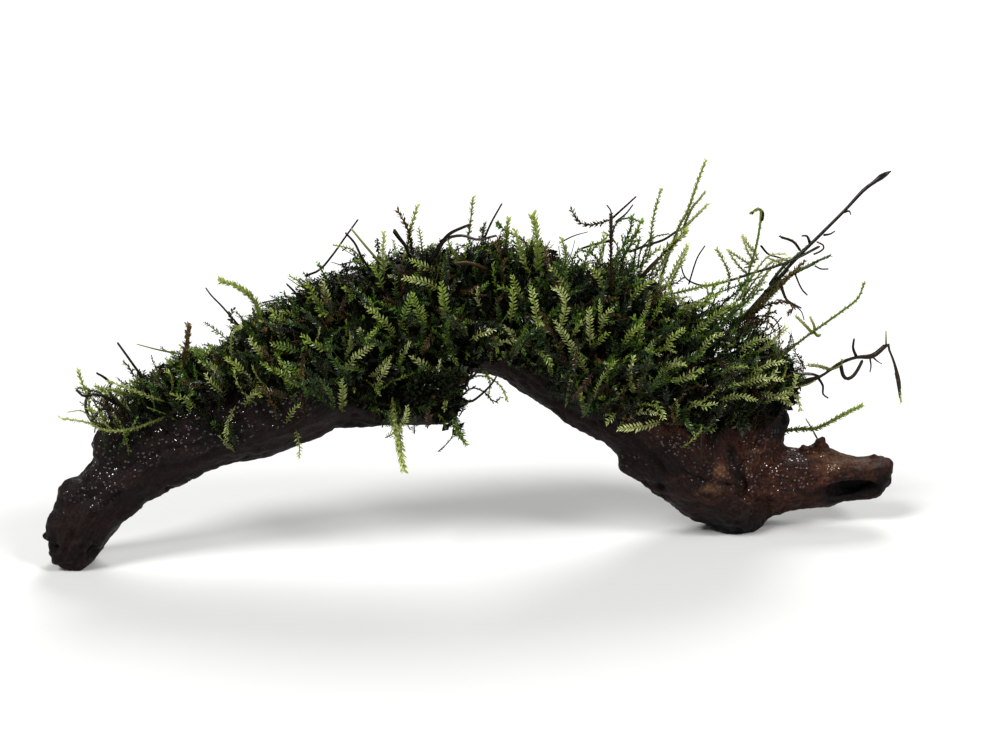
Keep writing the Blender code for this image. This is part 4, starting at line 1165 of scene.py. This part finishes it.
def frames_of(path, flat):
    """Tangents, sides and normals along a path; the leaves lie in the plane square to flat."""
    tangents = np.gradient(path, axis=0)
    tangents /= np.linalg.norm(tangents, axis=1)[:, None] + 1e-9
    sides = np.cross(flat, tangents)
    lengths = np.linalg.norm(sides, axis=1)[:, None]
    sides = np.where(lengths > 0.05, sides, np.cross([0.3, 0.5, 0.8], tangents))
    sides /= np.linalg.norm(sides, axis=1)[:, None] + 1e-9
    return tangents, sides, np.cross(tangents, sides)


def with_widths(path, root, tip):
    """The same path with a width at each point, from root to tip."""
    return np.column_stack([path, np.linspace(root, tip, len(path))])


def add_stem(growth, path, tone, flat, rings=7, sides=3):
    """A thin stem with a width at each point of its path, closed at both ends."""
    fine = evenly(path, 0.1)
    path = fine[np.linspace(0, len(fine) - 1, rings + 1).astype(int)]
    radii = path[:, 3] / 2
    path = path[:, :3]
    tangents, across, normals = frames_of(path, flat)
    share = np.linspace(0, 1, len(path))
    corners = []
    for corner in range(sides):
        turn = 2 * math.pi * corner / sides
        corners.append(path + (across * math.cos(turn) + normals * math.sin(turn)) * radii[:, None])
    points = np.stack(corners, axis=1).reshape(-1, 3)
    ends = np.array([path[0] - tangents[0] * radii[0], path[-1] + tangents[-1] * radii[-1]])
    faces = []
    last = sides * (len(path) - 1)
    for ring in range(0, last, sides):
        for corner in range(sides):
            after = (corner + 1) % sides
            faces.append((ring + corner, ring + after, ring + sides + after))
            faces.append((ring + corner, ring + sides + after, ring + sides + corner))
    for corner in range(sides):
        after = (corner + 1) % sides
        faces.append((corner, len(points), after))
        faces.append((last + corner, last + after, len(points) + 1))
    along = np.concatenate([np.repeat(share, sides), [0, 1]]) * 0.45
    places = np.column_stack([along, np.full(len(along), tone)])
    growth.add(np.concatenate([points, ends]), np.array(faces), places)


def shoot_path(points, root, tip):
    """A smooth path through points, with its widths."""
    return with_widths(curve_through(points, SHOOT_STEP), root, tip)


def leaf_faces(count):
    """Two triangles for each leaf of four points: root, left, right and tip."""
    base = np.arange(count)[:, None] * 4
    return np.concatenate([base + np.array([[0, 3, 1]]), base + np.array([[0, 2, 3]])])


def add_leaves(growth, path, leaf, spacing, tone, flat, chance, light=1.0, rope=False):
    """Narrow leaves along a path, in two ranks or, on a rope-like shoot, all round it."""
    stations = evenly(path[:, :3], spacing / 2)
    tangents, sides, normals = frames_of(stations, flat)
    count = len(stations)
    share = np.linspace(0, 1, count)
    keep = chance.random(count) > LOST_LEAVES
    keep[0] = False
    turn = np.arange(count) * (GOLDEN_TURN if rope else math.pi)
    out = sides * np.cos(turn)[:, None] + normals * np.sin(turn)[:, None]
    over = np.cross(out, tangents)
    size = leaf * chance.uniform(0.82, 1.12, count)
    if rope:
        spread = np.radians(48 - 8 * share**3 + chance.normal(0, 7, count))
        size *= np.interp(share, [0, 0.15, 1], [0.7, 1, 0.9])
        half_width, widest = 0.26, 0.55
    else:
        spread = np.radians(56 - 26 * share**3 + chance.normal(0, 8, count))
        size *= np.interp(share, [0, 0.2, 0.75, 1], [0.6, 1, 1, 0.62])
        half_width, widest = 0.17, 0.42
    ahead = tangents * np.cos(spread)[:, None] + out * np.sin(spread)[:, None]
    inward = out * np.cos(spread)[:, None] - tangents * np.sin(spread)[:, None]
    if rope:
        blade, rise = over, inward
    else:
        blade, rise = inward + over * chance.normal(0, 0.3, count)[:, None], over
        ahead = ahead + over * chance.normal(0.05, 0.18, count)[:, None]
    middle = stations + ahead * (size * widest)[:, None] - rise * (size * 0.05)[:, None]
    left = middle + blade * (size * half_width)[:, None]
    right = middle - blade * (size * half_width)[:, None]
    tip = stations + ahead * size[:, None]
    points = np.stack([stations, left, right, tip], axis=1)[keep]
    # Leaves are younger, and so brighter, towards the shoot's tip and towards their own.
    # A light below 1 darkens the leaves' colours as painted shade.
    along = (share[keep][:, None] * 0.72 + np.array([[0.02, 0.12, 0.12, 0.28]])) * light
    across = np.clip(tone + chance.normal(0, 0.03, (len(points), 1)), 0, 1) + np.zeros((1, 4))
    places = np.stack([along, across], axis=2).reshape(-1, 2)
    growth.add(points.reshape(-1, 3), leaf_faces(len(points)), places)


def in_frame(points):
    """Points of a table, moved to the frame that starts at the base's middle."""
    return np.array(points, float) - BASE_MIDDLE


def airiness(place):
    """1 in the middle of a place where the moss thins out, and 0 outside all of them."""
    most = 0.0
    for centre, radii in AIRY_PLACES:
        away = np.linalg.norm((place - in_frame(centre)) / np.array(radii))
        most = max(most, min(1.0, 2.2 - 2.2 * away))
    return most


def seen_at(place):
    """Where a place shows in the photograph's frame."""
    eye, right, up, ahead = camera_rays()
    offset = Vector(place) - eye
    scale = FRAME_WIDTH / 2 * CAMERA_LENS / (SENSOR_WIDTH / 2) / offset.dot(ahead)
    return FRAME_WIDTH / 2 + offset.dot(right) * scale, FRAME_HEIGHT / 2 - offset.dot(up) * scale


def below_edge(place, normal, chance):
    """Whether a place on the front lies below the moss's lower edge."""
    if normal[1] > 0.15:
        return False
    across, down = seen_at(place)
    edge = np.interp(across, *np.transpose(MOSS_EDGE))
    return down > edge + chance.uniform(-EDGE_SCATTER, EDGE_SCATTER)


def above_top(place, chance):
    """Whether a shoot's tip stands out above the thick part of the moss."""
    across, down = seen_at(place)
    return down < np.interp(across, *np.transpose(MOSS_TOP)) - chance.uniform(0, EDGE_SCATTER)


def outer_places(name, count, chance):
    """Random places on a clump's outside, each with the way out and the wood behind it."""
    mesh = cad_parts[name].data
    corners = [[mesh.vertices[index].co for index in face.vertices] for face in mesh.polygons]
    corners = np.array(corners) / MM
    crosses = np.cross(corners[:, 1] - corners[:, 0], corners[:, 2] - corners[:, 0])
    areas = np.linalg.norm(crosses, axis=1)
    wood, _ = tree_of(WOOD_PIECES.values())
    made = []
    while len(made) < count:
        face = chance.choice(len(areas), p=areas / areas.sum())
        first, second = chance.random(2)
        if first + second > 1:
            first, second = 1 - first, 1 - second
        corner = corners[face]
        place = corner[0] + (corner[1] - corner[0]) * first + (corner[2] - corner[0]) * second
        normal = crosses[face] / areas[face]
        behind = np.array(wood.find_nearest(Vector(place) * MM)[0]) / MM
        away = place - behind
        depth = np.linalg.norm(away)
        # Here the clump's own side lies against the wood, or inside it.
        if depth < 1.3 and np.dot(away, normal) < 0.3 * depth:
            continue
        if chance.random() < 0.72 * airiness(place) or below_edge(place, normal, chance):
            continue
        out = normal * 0.5 + away / (depth + 1e-6) * 0.7
        made.append((place, out / np.linalg.norm(out), behind))
    return made, wood


def random_tone(chance, airy, inner):
    """Old shoots lie deep and young ones outside; where the moss thins out it is yellower."""
    kind = chance.random()
    if inner:
        # Deep shoots get only dark tones, partly as older moss and partly as painted shade.
        return chance.uniform(0.20, 0.50) if kind > 0.2 else chance.uniform(0.05, 0.16)
    if kind < 0.10 + 0.10 * airy:
        return chance.uniform(0.05, 0.17)
    if kind < 0.58 - 0.25 * airy:
        return chance.uniform(0.22, 0.50)
    if kind < 0.88 - 0.25 * airy:
        return chance.uniform(0.50, 0.76)
    return chance.uniform(0.78, 0.96)


def random_path(chance, place, out, behind, wood, airy, inner):
    """A curved path for an ordinary shoot that ends near the outside of the moss."""
    deep = np.linalg.norm(place - behind)
    share = chance.uniform(0.4, 0.82) if inner else chance.uniform(0.86, 1.0)
    end = behind + (place - behind) * share
    wander = chance.normal(0, 1, 3)
    wander -= out * np.dot(wander, out)
    wander /= np.linalg.norm(wander) + 1e-9
    # Shoots lean outwards at both ends of the wood, and hang where they grow below it.
    lean = np.interp(place[0], [-90, -50, -20, 20, 45, 75], [-0.5, -0.4, -0.1, 0.05, 0.45, 0.8])
    rise = -0.45 if out[2] < -0.25 else 0.5
    pull = np.array([lean, 0, rise]) * (0.4 if inner else 1.0)
    heading = out * 0.5 + wander * (0.7 - 0.3 * airy) + pull
    heading /= np.linalg.norm(heading)
    length = chance.uniform(5.0, 10.5) * (0.8 if deep < 4 else 1.0) * (1 + 0.6 * airy)
    reach = chance.uniform(0, 1.2) if chance.random() < 0.85 else chance.uniform(1.2, 3.5)
    end = end + heading * reach * (0.4 + 0.6 * (out[2] > 0)) + out * chance.uniform(-0.5, 0.5)
    bend = chance.normal(0, 0.18, 3) * length + np.array([0, 0, 0.05]) * length
    share = np.linspace(0, 1, 9)[:, None]
    root = end - heading * length
    near, normal, _, _ = wood.find_nearest(Vector(root) * MM)
    if (Vector(root) * MM - near).dot(normal) < 0:
        root = np.array(near + normal * 0.2 * MM) / MM
    return root + (end - root) * share + bend * share * (1 - share) * 2


def add_mat(growth, places, count, chance):
    """Broad old leaves matted together deep in a clump, which close it to the light."""
    starts = []
    while len(starts) < count:
        place, _, behind = places[chance.integers(len(places))]
        start = behind + (place - behind) * chance.uniform(0.2, 0.72)
        if airiness(place) < 0.3 and not above_top(start + np.array([0, 0, 3.0]), chance):
            starts.append(start)
    starts = np.array(starts)
    ahead = unit_rows(chance.normal(0, 1, (count, 3)))
    blade = unit_rows(np.cross(ahead, chance.normal(0, 1, (count, 3))))
    size = chance.uniform(1.8, 3.0, (count, 1))
    middle = starts + ahead * size * 0.5
    left, right = middle + blade * size * 0.3, middle - blade * size * 0.3
    points = np.stack([starts, left, right, starts + ahead * size], axis=1).reshape(-1, 3)
    tones = np.repeat(chance.uniform(0.21, 0.36, count), 4)
    # The darkest colours of the leaf map: partly old moss and partly painted shade.
    places = np.column_stack([np.full(len(points), 0.02), tones])
    growth.add(points, leaf_faces(count), places)


def clump_of(name, share_of_shoots, settings, chance):
    """The leafy shoots of one clump, with a bare twig here and there."""
    growth = Growth()
    places, wood = outer_places(name, int(settings.shoots * share_of_shoots), chance)
    for place, out, behind in places:
        airy = max(0.0, airiness(place))
        inner = chance.random() < INNER_SHARE
        path = random_path(chance, place, out, behind, wood, airy, inner)
        path = with_widths(path, *RANDOM_WIDTHS)
        rooted = not above_top(path[0, :3], chance)
        # A few shoots stand out above the thick part of the moss, but none starts up there.
        if above_top(path[-1, :3], chance) and not (rooted and chance.random() < 0.08):
            continue
        flat = out + chance.normal(0, 0.45, 3)
        tone = random_tone(chance, airy, inner)
        if chance.random() < 0.04 + 0.12 * airy:
            add_stem(growth, path, chance.uniform(0.01, 0.08), flat)
            continue
        leaf = settings.leaf_length / MM * chance.uniform(0.8, 1.15) * (1 - 0.2 * airy)
        rope = chance.random() < 0.35 + 0.4 * airy
        add_stem(growth, path, tone, flat, rings=2 if inner else 5)
        # Leaves deep inside are given darker colours: painted shade.
        light = 0.25 if inner else 1.0
        add_leaves(growth, path, leaf, settings.leaf_pitch / MM, tone, flat, chance, light, rope)
    add_mat(growth, places, int(settings.matted * share_of_shoots), chance)
    return growth


def finish_piece(piece, node):
    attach(piece, "root")
    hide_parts(node)


def clump_for(path, trees):
    """The clump whose solid lies nearest to where a shoot starts."""
    root = Vector(path[0, :3]) * MM
    return min(trees, key=lambda piece: trees[piece].find_nearest(root)[3])


def camera_rays():
    """Where the camera stands, and the directions of its frame's right, up and ahead."""
    ahead = Vector((0, math.cos(CAMERA_ELEVATION), -math.sin(CAMERA_ELEVATION)))
    up = Vector((0, math.sin(CAMERA_ELEVATION), math.cos(CAMERA_ELEVATION)))
    return LOOKED_AT - ahead * CAMERA_DISTANCE, Vector((1, 0, 0)), up, ahead


def ray_through(across, down):
    """The line of sight through a place in the photograph's frame, for one unit of depth."""
    _, right, up, ahead = camera_rays()
    reach = SENSOR_WIDTH / 2 / CAMERA_LENS
    sideways = (across - FRAME_WIDTH / 2) / (FRAME_WIDTH / 2) * reach
    upward = (FRAME_HEIGHT / 2 - down) / (FRAME_WIDTH / 2) * reach
    return ahead + right * sideways + up * upward


def on_the_front(points, solids):
    """A path in the photograph's frame laid on the front of the moss or wood behind it."""
    eye, _, _, ahead = camera_rays()
    path = []
    depth = None
    for index, (across, down) in enumerate(points):
        ray = ray_through(across, down)
        hit = solids.ray_cast(eye * MM, ray.normalized())[0]
        if hit is None and not path:
            # A root that shows beside the moss starts from the moss or wood nearest to it.
            hit = solids.find_nearest((eye + ray * CAMERA_DISTANCE) * MM)[0]
            path.append(hit / MM)
        surface = (hit / MM - eye).dot(ahead) if hit is not None else math.inf
        depth = surface if depth is None else min(depth, surface)
        depth = min(depth, FARTHEST)
        lift = FIRST_LIFT + LIFT_STEP * index
        path.append(eye + ray * (depth - lift))
    return np.array(path)


def on_a_stem(points, stem):
    """A path in the photograph's frame laid at the depth of a long stem."""
    eye, _, _, ahead = camera_rays()
    path = []
    for across, down in points:
        nearest = min(stem, key=lambda row: math.dist(seen_at(row), (across, down)))
        path.append(eye + ray_through(across, down) * (Vector(nearest) - eye).dot(ahead))
    return np.array(path)


class MOSSWOOD_OT_driftwood(bpy.types.Operator):
    """Make the wet driftwood limbs"""

    bl_idname = "mosswood.driftwood"
    bl_label = "Driftwood"

    def execute(self, context):
        material = driftwood_material()
        wood = roughened_wood(context.scene.mosswood_wood)
        for piece, node in parted_wood(wood):
            piece.data.materials.clear()
            piece.data.materials.append(material)
            finish_piece(piece, node)
        return {"FINISHED"}


class MOSSWOOD_OT_clumps(bpy.types.Operator):
    """Make the three leafy clumps of moss"""

    bl_idname = "mosswood.clumps"
    bl_label = "Moss clumps"

    def execute(self, context):
        settings = context.scene.mosswood_moss
        chance = np.random.default_rng(settings.seed)
        material = moss_material("wet_moss_leaves")
        solids, _ = tree_of([*MOSS_PIECES.values(), *WOOD_PIECES.values()])
        growths = {}
        trees = {}
        for piece, node in MOSS_PIECES.items():
            growths[piece] = clump_of(node, CLUMP_SHARES[piece], settings, chance)
            trees[piece], _ = tree_of([node])
        for table, rope in ((FRONT_SHOOTS, False), (ROPE_SHOOTS, True)):
            for points, leaf, tone in table:
                path = shoot_path(on_the_front(points, solids), *CHOSEN_WIDTHS)
                flat = np.array([0.0, -1.0, 0.25]) + chance.normal(0, 0.3, 3)
                growth = growths[clump_for(path, trees)]
                add_stem(growth, path, tone, flat, rings=9)
                size = leaf * ROPE_GROWTH if rope else leaf
                spacing = ROPE_SPACING if rope else FLAT_SPACING
                add_leaves(growth, path, size, spacing, tone, flat, chance, rope=rope)
        for points, (root, tip), tone in TWIGS:
            path = shoot_path(on_the_front(points, solids), root, tip)
            growth = growths[clump_for(path, trees)]
            add_stem(growth, path, tone, np.array([0.0, -1.0, 0.2]), rings=14)
        for piece, node in MOSS_PIECES.items():
            finish_piece(growths[piece].piece(piece, material), node)
        return {"FINISHED"}


class MOSSWOOD_OT_stems(bpy.types.Operator):
    """Make the long stems that stand clear of the clumps"""

    bl_idname = "mosswood.stems"
    bl_label = "Long stems"

    def execute(self, context):
        settings = context.scene.mosswood_moss
        chance = np.random.default_rng(settings.seed + 1)
        material = moss_material("wet_moss_stems")
        for name, (node, slot, (leaf, spacing, tone), points) in LONG_STEMS.items():
            growth = Growth()
            path = curve_through(points, SHOOT_STEP)
            path[:, :3] -= BASE_MIDDLE
            flat = np.array([0.0, -1.0, 0.3]) + chance.normal(0, 0.2, 3)
            add_stem(growth, path, tone, flat, rings=40, sides=6)
            add_leaves(growth, path, leaf, spacing, tone, flat, chance, rope=True)
            for points, (root, tip), leaf, tone in SIDE_SHOOTS.get(name, []):
                side = shoot_path(on_a_stem(points, path[:, :3]), root, tip)
                add_stem(growth, side, tone, flat, rings=12, sides=5)
                if leaf:
                    add_leaves(growth, side, leaf, ROPE_SPACING, tone, flat, chance, rope=True)
            finish_piece(growth.piece(name, material), node)
        return {"FINISHED"}


class MOSSWOOD_OT_studio(bpy.types.Operator):
    """Make the pale floor, the soft lamps and the camera"""

    bl_idname = "mosswood.studio"
    bl_label = "Studio"

    def execute(self, context):
        settings = context.scene.mosswood_studio
        deselect()
        bpy.ops.mesh.primitive_plane_add(size=settings.floor_width)
        floor = context.active_object
        floor.name = "pale_floor"
        # Matt white paint scatters light evenly, so the floor has soft shadows and no shine.
        material, tree = new_material("matt_white_paint")
        colour = (*settings.floor_colour, 1.0)
        paint = add_node(tree, "ShaderNodeBsdfPrincipled", {"Base Color": colour, "Roughness": 0.8})
        add_node(tree, "ShaderNodeOutputMaterial", {"Surface": paint})
        floor.data.materials.append(material)
        context.scene.view_settings.view_transform = "Standard"
        world = bpy.data.worlds.new("soft_white_room")
        context.scene.world = world
        world.use_nodes = True
        background = world.node_tree.nodes["Background"]
        background.inputs["Color"].default_value = linear("#ffffff")
        background.inputs["Strength"].default_value = settings.room_strength
        for name, place, softness, share in LAMPS:
            light = bpy.data.lights.new(name, "SUN")
            light.angle = math.radians(softness)
            light.energy = share * settings.key_strength
            lamp = link_new(name, light)
            lamp.location = Vector(place)
            lamp.rotation_euler = (-Vector(place)).to_track_quat("-Z", "Y").to_euler()
        data = bpy.data.cameras.new("photo_camera")
        data.lens = CAMERA_LENS
        data.sensor_width = SENSOR_WIDTH
        data.clip_start = 0.01
        camera = link_new("photo_camera", data)
        eye, _, _, ahead = camera_rays()
        camera.location = eye * MM
        camera.rotation_euler = ahead.to_track_quat("-Z", "Y").to_euler()
        context.scene.camera = camera
        return {"FINISHED"}


class MOSSWOOD_PT_panel(bpy.types.Panel):
    """Lists the pieces that can be made"""

    bl_idname = "MOSSWOOD_PT_panel"
    bl_label = "Aquarium moss on driftwood"
    bl_space_type = "VIEW_3D"
    bl_region_type = "UI"
    bl_category = "Moss"

    def draw(self, context):
        for operator in OPERATORS:
            self.layout.operator(operator.bl_idname)
        for group in ("mosswood_wood", "mosswood_moss", "mosswood_studio"):
            settings = getattr(context.scene, group)
            for name in settings.__annotations__:
                self.layout.prop(settings, name)


OPERATORS = (
    MOSSWOOD_OT_driftwood,
    MOSSWOOD_OT_clumps,
    MOSSWOOD_OT_stems,
    MOSSWOOD_OT_studio,
)
CLASSES = (WoodSettings, MossSettings, StudioSettings, *OPERATORS, MOSSWOOD_PT_panel)


def register():
    for each in CLASSES:
        bpy.utils.register_class(each)
    bpy.types.Scene.mosswood_wood = bpy.props.PointerProperty(type=WoodSettings)
    bpy.types.Scene.mosswood_moss = bpy.props.PointerProperty(type=MossSettings)
    bpy.types.Scene.mosswood_studio = bpy.props.PointerProperty(type=StudioSettings)


def unregister():
    del bpy.types.Scene.mosswood_studio
    del bpy.types.Scene.mosswood_moss
    del bpy.types.Scene.mosswood_wood
    for each in reversed(CLASSES):
        bpy.utils.unregister_class(each)


def main():
    register()
    bpy.ops.mosswood.driftwood()
    bpy.ops.mosswood.clumps()
    bpy.ops.mosswood.stems()
    bpy.ops.mosswood.studio()


if __name__ == "__main__":
    main()
